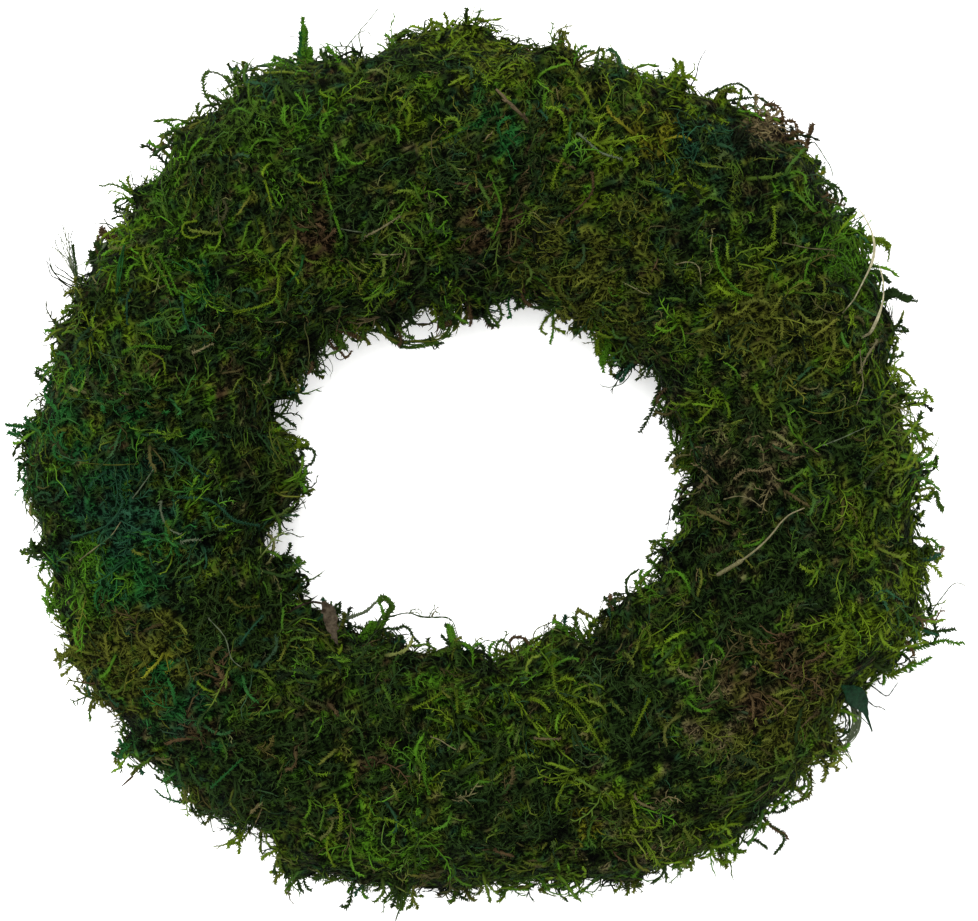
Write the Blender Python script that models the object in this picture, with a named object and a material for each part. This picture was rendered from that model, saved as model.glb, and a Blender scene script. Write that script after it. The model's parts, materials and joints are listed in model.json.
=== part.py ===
"""A moss wreath, 36 cm across, lying on its back.

A ring of straw, bound with wire ties, carries sixteen bunches of moss. Each bunch wraps over the front and
both sides of the ring and leaves a strip of straw bare at the back. Its fronds stand out of a dense core.
A few dry stalks, blades and leaves are caught in the moss. Metres, +Z up, front of the wreath upwards.
"""

import math
import random

import bmesh
import bpy
from mathutils import Matrix, Vector, noise

# Straw ring: an oval section, flattened underneath where it rests.
RING_RADIUS = 0.127
STRAW_HALF_WIDTH = 0.0305
STRAW_HALF_HEIGHT = 0.0285
STRAW_CENTRE_HEIGHT = 0.0270
STRAW_ROWS = 36
STRAW_SIDES = 12
STRAW_FIRST_SIDE = math.radians(15)

# Wire ties, each in a waist of the straw.
TIES = 9
TIE_RADIUS = 0.0007
WAIST_DEPTH = 0.0020
CLEARANCE = 0.0004
TIE_OFF_GROUND = 0.0002

# Moss bunches, anticlockwise from +X: how far each one's core reaches outwards and inwards from the middle
# of the ring, how high it stands, and its tone.
BUNCHES = (
    (0.1713, 0.0853, 0.0730, "fern"),
    (0.1739, 0.0849, 0.0710, "deep"),
    (0.1783, 0.0773, 0.0740, "deep"),
    (0.1689, 0.0779, 0.0715, "olive"),
    (0.1735, 0.0705, 0.0745, "fern"),
    (0.1767, 0.0700, 0.0750, "fern"),
    (0.1754, 0.0819, 0.0720, "olive"),
    (0.1724, 0.0849, 0.0705, "deep"),
    (0.1757, 0.0812, 0.0735, "emerald"),
    (0.1741, 0.0896, 0.0700, "emerald"),
    (0.1707, 0.0857, 0.0710, "olive"),
    (0.1676, 0.0791, 0.0720, "deep"),
    (0.1635, 0.0780, 0.0705, "lime"),
    (0.1703, 0.0778, 0.0735, "fern"),
    (0.1726, 0.0811, 0.0750, "lime"),
    (0.1765, 0.0860, 0.0740, "lime"),
)
BUNCH_TURN = 2 * math.pi / len(BUNCHES)
SEAM_SWAY = math.radians(4.0)
SEAM_REACH = 0.045
SEAM_LEAN_STEP = 2.4
SEAM_GAP = 0.0004
CORE_CENTRE_HEIGHT = 0.0300
CORE_UNDERSIDE = 0.0012
CORE_ROUNDNESS = 2.3
CORE_FIRST_SIDE = math.radians(-58)
CORE_LAST_SIDE = math.radians(238)
CORE_ROWS = 5
CORE_SIDES = 14
SEAT_GAP = 0.0007
LEAST_MOSS = 0.0038
LUMP_HEIGHT = 0.0040
LUMP_LENGTH = 0.028
LUMP_FADE_HEIGHT = 0.015
PILLOW_DIP = 0.0032
PILLOW_POWER = 3

# Tufts: a leaning point on each cell of the core's surface.
TUFT_LIFT = (0.0030, 0.0085)
TUFT_LEAN = 0.0050

# Fronds: a three-sided stem with a pointed shoot on both flanks of each length of it.
FRONDS_ROUND = 5
FRONDS_ACROSS = 2
STRAY_ROUND = 0.35
STRAY_ACROSS = 0.2
FROND_STEP = (0.0082, 0.0115)
FROND_HALF_WIDTH = (0.0014, 0.0022, 0.0019, 0.0014)
FROND_LIFT = (-0.0040, 0.0035, 0.0062, 0.0070, 0.0055)
ROOT_COVER = 0.0018
FROND_CREST = 1.3
FROND_CURL = (math.radians(8), math.radians(24))
SHOOT_LENGTH = (0.0095, 0.0081)
SHOOT_RISE = 0.15
SHOOT_SWEEP = math.radians(38)
FROND_MARGIN = 0.0050
SHOOT_MARGIN = 0.0010
FROND_SIDES = (math.radians(-40), math.radians(220))
SIDE_SLACK = math.radians(8)
FROND_LOWEST = 0.0022

# Tones of the moss and of what is caught in it: linear colour, roughness.
TONES = {
    "deep": ((0.012, 0.026, 0.010), 0.85),
    "fern": ((0.020, 0.046, 0.009), 0.85),
    "emerald": ((0.010, 0.042, 0.020), 0.85),
    "olive": ((0.033, 0.043, 0.010), 0.85),
    "lime": ((0.052, 0.080, 0.008), 0.85),
    "straw": ((0.380, 0.270, 0.110), 0.75),
    "wire": ((0.100, 0.100, 0.090), 0.45),
    "dry_grass": ((0.330, 0.300, 0.140), 0.65),
    "bark": ((0.090, 0.050, 0.028), 0.80),
    "leaf": ((0.008, 0.030, 0.016), 0.50),
    "dead_leaf": ((0.110, 0.050, 0.030), 0.75),
}
METALLIC = {"wire": 0.8}

# Stray pieces: name, tone, radius at the root, and the route as (ring angle in degrees, section angle in
# degrees, height above the moss core in metres), from the root inside the moss to the tip.
STALKS = (
    ("grass_blade_1", "dry_grass", 0.0008,
     ((23.6, 59, -0.009), (24.3, 56.6, 0.004), (26.8, 46.8, 0.010), (29.3, 31.9, 0.011), (32.1, 20, 0.010),
      (35.9, 12, 0.009))),
    ("grass_blade_2", "dry_grass", 0.0008,
     ((19.6, 49.5, -0.009), (20.1, 47.6, 0.004), (22.5, 43.2, 0.010), (25.2, 34.5, 0.011), (27.9, 28, 0.010))),
    ("straw_stalk", "dry_grass", 0.0010,
     ((-23.6, 127, -0.009), (-23, 124.6, 0.004), (-17, 110.8, 0.010), (-12.4, 103.8, 0.011), (-7.6, 97.2, 0.011),
      (-5.8, 91.2, 0.009))),
    ("twig", "bark", 0.0011,
     ((82.2, 74, -0.009), (82.7, 73, 0.004), (85.3, 70.8, 0.011), (87.9, 64.7, 0.011))),
)
LEAVES = (
    ("dark_leaf", "leaf", 0.0010, 0.0042, 0.018,
     ((-30.3, 38, -0.008), (-30.6, 36, 0.005), (-31.2, 22, 0.011), (-32.3, 8, 0.013), (-33.8, -3, 0.014))),
    ("brown_leaf", "dead_leaf", 0.0010, 0.0032, 0.016,
     ((215.3, 154, -0.008), (215.8, 152.1, 0.005), (218.4, 153.5, 0.010), (221.9, 150.9, 0.0105),
      (229.2, 136, 0.011))),
)
STALK_TAPER = 0.7
LEAF_ROWS = 9
LEAF_THICKNESS = 0.0009
LEAF_FOLD = 0.35
LEAF_LEAN = 0.3
STALK_CLEARANCE = 0.0005
TUFT_KEEP_OFF = 0.0060
FROND_KEEP_OFF = 0.0042
FROND_TRIES = 6
HOLE_DEPTH = 0.030
HOLE_BEHIND_ROOT = 0.0015
HOLE_SIDES = 6

# Points closer than this are one, after the fronds are fused on.
MERGE_WITHIN = 0.000003

SEED = 42


def clear_scene():
    for obj in list(bpy.data.objects):
        bpy.data.objects.remove(obj, do_unlink=True)


def collection(name, hidden=False):
    made = bpy.data.collections.new(name)
    bpy.context.scene.collection.children.link(made)
    made.hide_render = hidden
    return made


def material(tone):
    """The Principled material of a tone, made once."""
    name = "mat_" + tone
    if name in bpy.data.materials:
        return bpy.data.materials[name]
    made = bpy.data.materials.new(name)
    made.use_nodes = True
    shader = made.node_tree.nodes["Principled BSDF"]
    colour, roughness = TONES[tone]
    shader.inputs["Base Color"].default_value = (*colour, 1.0)
    shader.inputs["Roughness"].default_value = roughness
    shader.inputs["Metallic"].default_value = METALLIC.get(tone, 0.0)
    made.diffuse_color = (*colour, 1.0)
    return made


def object_of(name, data, tone, into, parent=None):
    made = bpy.data.objects.new(name, data)
    data.materials.append(material(tone))
    into.objects.link(made)
    made.parent = parent
    return made


def mesh_of(name, build):
    """A mesh filled by build(bmesh), with its normals outwards."""
    shape = bmesh.new()
    build(shape)
    bmesh.ops.recalc_face_normals(shape, faces=shape.faces)
    if shape.calc_volume(signed=True) < 0:
        bmesh.ops.reverse_faces(shape, faces=shape.faces)
    mesh = bpy.data.meshes.new(name)
    shape.to_mesh(mesh)
    shape.free()
    return mesh


def baked(obj):
    """Replaces an object's data and modifiers by the mesh that they make."""
    bpy.context.view_layer.update()
    graph = bpy.context.evaluated_depsgraph_get()
    mesh = bpy.data.meshes.new_from_object(obj.evaluated_get(graph))
    obj.modifiers.clear()
    obj.data = mesh
    return obj


def keep_largest_shell(obj):
    """Drops loose scraps, and the inner shells of hollows that fusing sealed."""
    shape = bmesh.new()
    shape.from_mesh(obj.data)
    bmesh.ops.remove_doubles(shape, verts=shape.verts, dist=MERGE_WITHIN)
    shells = []
    waiting = set(shape.faces)
    while waiting:
        shell = set()
        edge_of_shell = [waiting.pop()]
        while edge_of_shell:
            face = edge_of_shell.pop()
            shell.add(face)
            joints = [edge for edge in face.edges if len(edge.link_faces) == 2]
            beside = {other for edge in joints for other in edge.link_faces} & waiting
            waiting -= beside
            edge_of_shell += beside
        shells.append(shell)
    largest = max(shells, key=lambda shell: sum(face.calc_area() for face in shell))
    scraps = [face for face in shape.faces if face not in largest]
    bmesh.ops.delete(shape, geom=scraps, context="FACES")
    shape.to_mesh(obj.data)
    shape.free()


def boolean(obj, operation, solver, **operand):
    modifier = obj.modifiers.new(operation.lower(), "BOOLEAN")
    modifier.operation = operation
    modifier.solver = solver
    for key, value in operand.items():
        setattr(modifier, key, value)
    return baked(obj)


# Places on the ring. turn is the angle round the wreath, side the angle round its section: 0 is outermost,
# a quarter turn the front, and a half turn innermost.
def spoke(turn, side):
    """The direction away from the middle of the section."""
    out = math.cos(side)
    return Vector((math.cos(turn) * out, math.sin(turn) * out, math.sin(side)))


def on_section(turn, radius, height):
    return Vector((math.cos(turn) * radius, math.sin(turn) * radius, height))


def between_bunches(turn, column):
    """A size from the BUNCHES table, eased from one bunch's middle to the next."""
    place = (turn / BUNCH_TURN) % len(BUNCHES)
    first = int(place)
    share = place - first
    ease = (1 - math.cos(math.pi * share)) / 2
    here = BUNCHES[first][column]
    there = BUNCHES[(first + 1) % len(BUNCHES)][column]
    return here + (there - here) * ease


def seam(number, radius, height):
    """The turn at which one bunch ends and the next begins: a plane across the ring, leaning its own way."""
    lean = SEAM_LEAN_STEP * (number % len(BUNCHES))
    across = (radius - RING_RADIUS) / SEAM_REACH
    rise = (height - CORE_CENTRE_HEIGHT) / SEAM_REACH
    return (number - 0.5) * BUNCH_TURN + SEAM_SWAY * (math.cos(lean) * across + math.sin(lean) * rise)


def turn_across(number, share, radius, height, margin=0.0):
    """The turn at a share of the way across a bunch, its ends a margin off the seams."""
    first = seam(number, radius, height) + margin / radius
    last = seam(number + 1, radius, height) - margin / radius
    return first + (last - first) * share


def rounded(share):
    return math.copysign(abs(share) ** (2 / CORE_ROUNDNESS), share)


def core_section(turn, side):
    """The moss core's surface before its lumps, as (radius, height)."""
    outer, inner, top = (between_bunches(turn, column) for column in range(3))
    rise = (top - CORE_CENTRE_HEIGHT) if math.sin(side) > 0 else (CORE_CENTRE_HEIGHT - CORE_UNDERSIDE)
    radius = (outer + inner) / 2 + (outer - inner) / 2 * rounded(math.cos(side))
    return radius, CORE_CENTRE_HEIGHT + rise * rounded(math.sin(side))


def lump(turn, side):
    """The core's uneven height at a place, which fades towards the underside."""
    radius, height = core_section(turn, side)
    rough = noise.noise(on_section(turn, radius, height) / LUMP_LENGTH)
    fade = min(1.0, max(0.0, (height - CORE_UNDERSIDE) / LUMP_FADE_HEIGHT))
    return LUMP_HEIGHT * rough * fade


def core_point(turn, side, lift=0.0):
    """A point on the moss core, or lift above it."""
    radius, height = core_section(turn, side)
    point = on_section(turn, radius, height) + spoke(turn, side) * lump(turn, side)
    return off_straw(point, LEAST_MOSS) + spoke(turn, side) * lift


def off_straw(point, gap):
    """The point, moved outwards where it lies closer than a gap to the straw's oval."""
    half_width = STRAW_HALF_WIDTH + gap
    half_height = STRAW_HALF_HEIGHT + gap
    across = (math.hypot(point.x, point.y) - RING_RADIUS) / half_width
    rise = (point.z - STRAW_CENTRE_HEIGHT) / half_height
    reach = math.hypot(across, rise)
    if reach >= 1:
        return point
    height = max(STRAW_CENTRE_HEIGHT + rise / reach * half_height, CORE_UNDERSIDE)
    return on_section(math.atan2(point.y, point.x), RING_RADIUS + across / reach * half_width, height)


def straw_section(side, gap=0.0):
    """The straw ring's oval, or a gap outside it, as (radius, height)."""
    radius = RING_RADIUS + (STRAW_HALF_WIDTH + gap) * math.cos(side)
    return radius, STRAW_CENTRE_HEIGHT + (STRAW_HALF_HEIGHT + gap) * math.sin(side)


def straw_ring(into, parent):
    """A torus drawn to the oval section, with a waist at each tie and a flat underside."""
    bpy.ops.mesh.primitive_torus_add(
        major_segments=STRAW_ROWS, minor_segments=STRAW_SIDES,
        major_radius=RING_RADIUS, minor_radius=STRAW_HALF_WIDTH,
    )
    ring = bpy.context.object
    ring.name = "straw_ring"
    for owner in list(ring.users_collection):
        owner.objects.unlink(ring)
    into.objects.link(ring)
    ring.data.materials.append(material("straw"))
    ring.parent = parent
    for vertex in ring.data.vertices:
        x, y, z = vertex.co
        turn = math.atan2(y, x)
        side = math.atan2(z, math.hypot(x, y) - RING_RADIUS) + STRAW_FIRST_SIDE
        row = round(turn / (2 * math.pi) * STRAW_ROWS)
        waist = WAIST_DEPTH if row % (STRAW_ROWS // TIES) == 0 else 0.0
        radius, height = straw_section(side, -waist)
        vertex.co = on_section(turn, radius, max(height, waist))
    return ring


def straw_sides():
    return [STRAW_FIRST_SIDE + 2 * math.pi * side / STRAW_SIDES for side in range(STRAW_SIDES)]


def wire_tie(number, into, parent):
    """One loop of wire round the straw, in its waist."""
    turn = 2 * math.pi * number / TIES
    curve = bpy.data.curves.new(f"wire_tie_{number + 1:02d}", "CURVE")
    curve.dimensions = "3D"
    curve.bevel_depth = TIE_RADIUS
    curve.bevel_resolution = 0
    curve.use_fill_caps = True
    line = curve.splines.new("POLY")
    line.points.add(STRAW_SIDES - 1)
    line.use_cyclic_u = True
    outside = CLEARANCE + TIE_RADIUS - WAIST_DEPTH
    for point, side in zip(line.points, straw_sides()):
        radius, height = straw_section(side, outside)
        point.co = (*on_section(turn, radius, max(height, TIE_RADIUS + TIE_OFF_GROUND)), 1.0)
    return object_of(curve.name, curve, "wire", into, parent)


def cap_triangles(outer_sides, inner_sides):
    """A seam face's triangles, as indices into its outer and then its inner points, paired by side."""
    triangles = []
    outer = inner = 0
    while outer + 1 < len(outer_sides) or inner + 1 < len(inner_sides):
        next_outer = outer_sides[outer + 1] if outer + 1 < len(outer_sides) else math.inf
        next_inner = inner_sides[inner + 1] if inner + 1 < len(inner_sides) else math.inf
        if next_outer <= next_inner:
            triangles.append((outer, outer + 1, len(outer_sides) + inner))
            outer += 1
        else:
            triangles.append((outer, len(outer_sides) + inner + 1, len(outer_sides) + inner))
            inner += 1
    return triangles


def core_mesh(number, draw, strays):
    """One bunch's core: a loft of C-shaped sections, hollow where the straw lies, and tufted outside."""
    outer_sides = [
        CORE_FIRST_SIDE + (CORE_LAST_SIDE - CORE_FIRST_SIDE) * k / (CORE_SIDES - 1) for k in range(CORE_SIDES)
    ]
    corner_turn = 2 * math.pi / STRAW_SIDES
    inner_sides = [STRAW_FIRST_SIDE + k * corner_turn for k in range(-2, STRAW_SIDES - 4)]

    def section(share):
        dip = PILLOW_DIP * abs(2 * share - 1) ** PILLOW_POWER
        points = []
        for side in outer_sides:
            radius, height = core_section((number - 0.5 + share) * BUNCH_TURN, side)
            turn = turn_across(number, share, radius, height, SEAM_GAP)
            points.append(core_point(turn, side, -dip))
        for side in inner_sides:
            radius, height = straw_section(side, SEAT_GAP)
            turn = turn_across(number, share, radius, height, SEAM_GAP)
            points.append(on_section(turn, radius, height))
        return points

    def raise_tuft(shape, cell):
        """Draws a cell of the surface out to a point that leans its own way."""
        place = sum((corner.co for corner in cell.verts), Vector()) / len(cell.verts)
        away = (place - on_section(math.atan2(place.y, place.x), RING_RADIUS, CORE_CENTRE_HEIGHT)).normalized()
        heading = draw.uniform(0, 2 * math.pi)
        round_ring = Vector((-place.y, place.x, 0)).normalized()
        lean = round_ring * math.cos(heading) + away.cross(round_ring) * math.sin(heading)
        tip = bent_clear(number, place + away * draw.uniform(*TUFT_LIFT) + lean * TUFT_LEAN)
        if not near_stray(tip, strays, TUFT_KEEP_OFF):
            bmesh.ops.poke(shape, faces=[cell])["verts"][0].co = tip

    def build(shape):
        shares = [row / (CORE_ROWS - 1) for row in range(CORE_ROWS)]
        rows = [[shape.verts.new(point) for point in section(share)] for share in shares]
        cells = []
        count = len(rows[0])
        rim = list(range(len(outer_sides))) + list(reversed(range(len(outer_sides), count)))
        for here, there in zip(rows, rows[1:]):
            for a, b in zip(rim, rim[1:] + rim[:1]):
                face = shape.faces.new((here[a], here[b], there[b], there[a]))
                if max(a, b) < len(outer_sides):
                    cells.append(face)
        for cell in cells:
            raise_tuft(shape, cell)
        for triangle in cap_triangles(outer_sides, inner_sides):
            for row in (rows[0], rows[-1]):
                shape.faces.new([row[k] for k in triangle])
        bmesh.ops.triangulate(shape, faces=shape.faces)

    return mesh_of(f"moss_bunch_{number + 1:02d}", build)


def within_bunch(number, turn, radius, height, margin):
    """The turn, brought back to a margin inside its bunch's seams."""
    first = turn_across(number, 0, radius, height, margin)
    last = turn_across(number, 1, radius, height, margin)
    return min(max(turn, first), last)


def frond_route(number, draw, share, side):
    """Stations of one frond as (turn, side, lift), wandering over the core from its root."""
    radius, height = core_section((number - 0.5 + share) * BUNCH_TURN, side)
    turn = turn_across(number, share, radius, height)
    heading = draw.uniform(0, 2 * math.pi)
    curl = draw.choice((-1, 1)) * draw.uniform(*FROND_CURL)
    step = draw.uniform(*FROND_STEP)
    stations = []
    for lift in FROND_LIFT:
        side = min(max(side, FROND_SIDES[0] - SIDE_SLACK), FROND_SIDES[1] + SIDE_SLACK)
        radius, height = core_section(turn, side)
        turn = within_bunch(number, turn, radius, height, FROND_MARGIN)
        stations.append((turn, side, lift))
        reach = (core_point(turn, side) - on_section(turn, RING_RADIUS, CORE_CENTRE_HEIGHT)).length
        turn += step * math.cos(heading) / radius
        side += step * math.sin(heading) / reach
        heading += curl
    return stations


def frond_mesh(number, stations):
    """A three-sided stem along the stations, its flanks drawn out into shoots."""
    places = [core_point(*station) for station in stations]
    places[0] = off_straw(places[0], ROOT_COVER)

    def build(shape):
        rings = []
        for k, width in enumerate(FROND_HALF_WIDTH):
            turn, side, _ = stations[k]
            up = spoke(turn, side)
            ahead = (places[k + 1] - places[max(k - 1, 0)]).normalized()
            across = ahead.cross(up).normalized()
            corners = (-across * width, across * width, up * width * FROND_CREST)
            rings.append([shape.verts.new(bent_clear(number, places[k] + corner)) for corner in corners])
        tip = shape.verts.new(bent_clear(number, places[-1]))
        flanks = []
        for k, (here, there) in enumerate(zip(rings, rings[1:])):
            shape.faces.new((here[0], here[1], there[1], there[0]))
            left = shape.faces.new((here[2], here[0], there[0], there[2]))
            right = shape.faces.new((here[1], here[2], there[2], there[1]))
            if k:
                flanks += [(left, k, -1), (right, k, 1)]
        for a, b in ((0, 1), (1, 2), (2, 0)):
            shape.faces.new((rings[-1][a], rings[-1][b], tip))
        shape.faces.new(list(reversed(rings[0])))
        for face, k, hand in flanks:
            up = spoke(*stations[k][:2])
            ahead = (places[k + 1] - places[k]).normalized()
            across = ahead.cross(up).normalized() * hand
            out = across * math.cos(SHOOT_SWEEP) + ahead * math.sin(SHOOT_SWEEP) + up * SHOOT_RISE
            tip = bmesh.ops.poke(shape, faces=[face])["verts"][0]
            tip.co = bent_clear(number, tip.co + out * SHOOT_LENGTH[k - 1])

    return mesh_of("frond", build)


def bent_clear(number, point):
    """The point, turned back into its own bunch's share of the ring, and kept off the ground."""
    turn = math.atan2(point.y, point.x)
    radius = math.hypot(point.x, point.y)
    middle = number * BUNCH_TURN
    turn = middle + math.remainder(turn - middle, 2 * math.pi)
    turn = within_bunch(number, turn, radius, point.z, SHOOT_MARGIN)
    return on_section(turn, radius, max(point.z, FROND_LOWEST))


def route_points(route):
    return [core_point(math.radians(turn), math.radians(side), lift) for turn, side, lift in route]


def near_stray(point, strays, keep_off):
    """Whether a point lies close to the route of a stalk or leaf."""
    for route in strays:
        for a, b in zip(route, route[1:]):
            along = b - a
            share = min(1.0, max(0.0, (point - a).dot(along) / along.length_squared))
            if (point - a - along * share).length < keep_off:
                return True
    return False


def clear_of_strays(mesh, strays):
    points = [vertex.co for vertex in mesh.vertices]
    points += [(points[a] + points[b]) / 2 for a, b in (edge.vertices for edge in mesh.edges)]
    return not any(near_stray(point, strays, FROND_KEEP_OFF) for point in points)


def fronds_of(number, draw, strays):
    """Meshes of one bunch's fronds, spread evenly over its core, each drawn again if it meets a stray piece."""
    meshes = []
    for k in range(FRONDS_ROUND):
        for across in range(FRONDS_ACROSS):
            share = (across + 0.5 + draw.uniform(-STRAY_ACROSS, STRAY_ACROSS)) / FRONDS_ACROSS
            place = (k + 0.5 + draw.uniform(-STRAY_ROUND, STRAY_ROUND)) / FRONDS_ROUND
            side = FROND_SIDES[0] + (FROND_SIDES[1] - FROND_SIDES[0]) * place
            for _ in range(FROND_TRIES):
                mesh = frond_mesh(number, frond_route(number, draw, share, side))
                if clear_of_strays(mesh, strays):
                    meshes.append(mesh)
                    break
    return meshes


def root_hole(route, radius, into):
    """A plain hole for a stray piece's root, as a cutter."""
    root, mouth = route[0], route[1]
    ahead = (mouth - root).normalized()

    def build(shape):
        turned = ahead.to_track_quat("Z", "Y").to_matrix().to_4x4()
        middle = root + ahead * (HOLE_DEPTH / 2 - HOLE_BEHIND_ROOT)
        bmesh.ops.create_cone(
            shape, cap_ends=True, segments=HOLE_SIDES, radius1=radius, radius2=radius, depth=HOLE_DEPTH,
            matrix=Matrix.Translation(middle) @ turned,
        )

    made = bpy.data.objects.new("root_hole", mesh_of("root_hole", build))
    into.objects.link(made)
    made.hide_render = True
    made.display_type = "WIRE"
    return made


def moss_bunch(number, strays, into, cutters, parent):
    """A bunch: its core with its fronds fused on, and a hole for each stray piece that is rooted in it."""
    draw = random.Random(SEED + number)
    routes = [route for route, _ in strays]
    core = core_mesh(number, draw, routes)
    bunch = object_of(core.name, core, BUNCHES[number][3], into, parent)
    loose = collection("loose_fronds")
    for mesh in fronds_of(number, draw, routes):
        loose.objects.link(bpy.data.objects.new("frond", mesh))
    boolean(bunch, "UNION", "MANIFOLD", operand_type="COLLECTION", collection=loose)
    for obj in list(loose.objects):
        bpy.data.objects.remove(obj, do_unlink=True)
    bpy.data.collections.remove(loose)
    for route, radius in strays:
        turn = math.atan2(route[1].y, route[1].x)
        if round(turn / BUNCH_TURN) % len(BUNCHES) == number:
            hole = root_hole(route, (radius + STALK_CLEARANCE) / math.cos(math.pi / HOLE_SIDES), cutters)
            boolean(bunch, "DIFFERENCE", "MANIFOLD", object=hole)
    keep_largest_shell(bunch)
    return bunch


def stalk(name, tone, radius, route, into, parent):
    """A dry stalk or grass blade: a tube that tapers to its tip."""
    curve = bpy.data.curves.new(name, "CURVE")
    curve.dimensions = "3D"
    curve.bevel_depth = radius
    curve.bevel_resolution = 1
    curve.use_fill_caps = True
    curve.resolution_u = 3
    line = curve.splines.new("BEZIER")
    line.bezier_points.add(len(route) - 1)
    for k, (point, place) in enumerate(zip(line.bezier_points, route)):
        point.co = place
        point.handle_left_type = point.handle_right_type = "VECTOR" if k < 2 else "AUTO"
        point.radius = 1.0 - STALK_TAPER * k / (len(route) - 1)
    return object_of(name, curve, tone, into, parent)


def leaf(name, tone, radius, half_width, blade_length, route, into, parent):
    """A leaf on its stalk: cross sections that widen into a pointed blade, bent along the route."""
    spine = [resampled(route, k / (LEAF_ROWS - 1)) for k in range(LEAF_ROWS)]
    total = sum((b - a).length for a, b in zip(spine, spine[1:]))
    stalk_share = 1 - blade_length / total

    def build(shape):
        rings = []
        for k, place in enumerate(spine):
            share = k / (LEAF_ROWS - 1)
            blade = max(0.0, (share - stalk_share) / (1 - stalk_share))
            swell = math.sin(math.pi * blade ** 0.8)
            width = max(radius / 2, half_width * swell)
            ahead = (spine[min(k + 1, LEAF_ROWS - 1)] - spine[max(k - 1, 0)]).normalized()
            up = Vector((place.x, place.y, 0.0)).normalized() * LEAF_LEAN + Vector((0, 0, 1))
            across = ahead.cross(up).normalized()
            crest = across.cross(ahead).normalized()
            left = across * width + crest * width * LEAF_FOLD
            right = -across * width + crest * width * LEAF_FOLD
            skin = crest * LEAF_THICKNESS / 2
            offsets = (left - skin, -skin, right - skin, right + skin, skin, left + skin)
            rings.append([shape.verts.new(place + offset) for offset in offsets])
        for here, there in zip(rings, rings[1:]):
            for k in range(6):
                shape.faces.new((here[k], here[(k + 1) % 6], there[(k + 1) % 6], there[k]))
        shape.faces.new(rings[0])
        shape.faces.new(list(reversed(rings[-1])))
        bmesh.ops.triangulate(shape, faces=shape.faces)

    return object_of(name, mesh_of(name, build), tone, into, parent)


def resampled(route, share):
    """The point at a share of a route's length."""
    lengths = [(b - a).length for a, b in zip(route, route[1:])]
    left = share * sum(lengths)
    for (a, b), length in zip(zip(route, route[1:]), lengths):
        if left <= length:
            return a.lerp(b, left / length)
        left -= length
    return route[-1].copy()


def centre_on_box(parts, frame):
    """Moves the frame so that the middle of the parts' box, at its lowest, is the origin."""
    bpy.context.view_layer.update()
    graph = bpy.context.evaluated_depsgraph_get()
    corners = []
    for obj in parts.objects:
        if obj.type != "EMPTY":
            shown = obj.evaluated_get(graph)
            mesh = shown.to_mesh()
            corners += [shown.matrix_world @ vertex.co for vertex in mesh.vertices]
            shown.to_mesh_clear()
    low = Vector(min(corner[k] for corner in corners) for k in range(3))
    high = Vector(max(corner[k] for corner in corners) for k in range(3))
    frame.location = -Vector(((low.x + high.x) / 2, (low.y + high.y) / 2, low.z))


def main():
    clear_scene()
    parts = collection("moss_wreath")
    cutters = collection("cutters", hidden=True)
    frame = bpy.data.objects.new("wreath_frame", None)
    parts.objects.link(frame)
    straw_ring(parts, frame)
    for number in range(TIES):
        wire_tie(number, parts, frame)
    strays = [(route_points(route), radius) for _, _, radius, route in STALKS]
    strays += [(route_points(route), radius) for _, _, radius, _, _, route in LEAVES]
    for number in range(len(BUNCHES)):
        moss_bunch(number, strays, parts, cutters, frame)
    for name, tone, radius, route in STALKS:
        stalk(name, tone, radius, route_points(route), parts, frame)
    for name, tone, radius, half_width, blade_length, route in LEAVES:
        leaf(name, tone, radius, half_width, blade_length, route_points(route), parts, frame)
    centre_on_box(parts, frame)


main()
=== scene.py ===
"""A moss wreath's looks: fine moss over each bunch, the straw ring and its wire, and the dry things in it."""

import json
import math
import random

import bmesh
import bpy
import numpy as np
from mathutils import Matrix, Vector, noise

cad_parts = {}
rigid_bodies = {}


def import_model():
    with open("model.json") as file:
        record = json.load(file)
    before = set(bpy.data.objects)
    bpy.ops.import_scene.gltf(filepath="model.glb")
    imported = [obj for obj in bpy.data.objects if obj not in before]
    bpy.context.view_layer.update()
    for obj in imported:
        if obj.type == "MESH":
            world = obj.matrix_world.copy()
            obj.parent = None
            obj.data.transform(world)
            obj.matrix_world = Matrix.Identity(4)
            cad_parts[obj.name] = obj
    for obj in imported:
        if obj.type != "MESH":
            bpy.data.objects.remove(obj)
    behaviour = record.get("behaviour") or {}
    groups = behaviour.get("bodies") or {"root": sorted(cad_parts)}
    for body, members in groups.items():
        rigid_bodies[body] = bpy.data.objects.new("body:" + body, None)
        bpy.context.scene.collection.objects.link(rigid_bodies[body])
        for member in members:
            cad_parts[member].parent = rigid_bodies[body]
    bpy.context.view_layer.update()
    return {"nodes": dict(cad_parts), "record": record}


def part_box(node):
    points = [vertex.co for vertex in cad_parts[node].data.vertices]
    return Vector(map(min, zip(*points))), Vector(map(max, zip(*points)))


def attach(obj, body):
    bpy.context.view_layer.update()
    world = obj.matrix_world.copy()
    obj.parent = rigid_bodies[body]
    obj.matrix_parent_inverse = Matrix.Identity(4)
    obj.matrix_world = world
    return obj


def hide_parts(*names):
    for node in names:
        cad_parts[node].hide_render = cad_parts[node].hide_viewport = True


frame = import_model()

# The wreath's frame: the middle of the straw ring, and the moss bunches that lie round it.
RING_LOW, RING_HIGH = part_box("straw_ring")
CENTRE = Vector(((RING_LOW.x + RING_HIGH.x) / 2, (RING_LOW.y + RING_HIGH.y) / 2, 0.0))
RING_RADIUS = 0.127
SECTION_HEIGHT = 0.030
BUNCHES = [f"moss_bunch_{number:02d}" for number in range(1, 17)]
BUNCH_TURN = 2 * math.pi / len(BUNCHES)
SEED = 7

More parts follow.
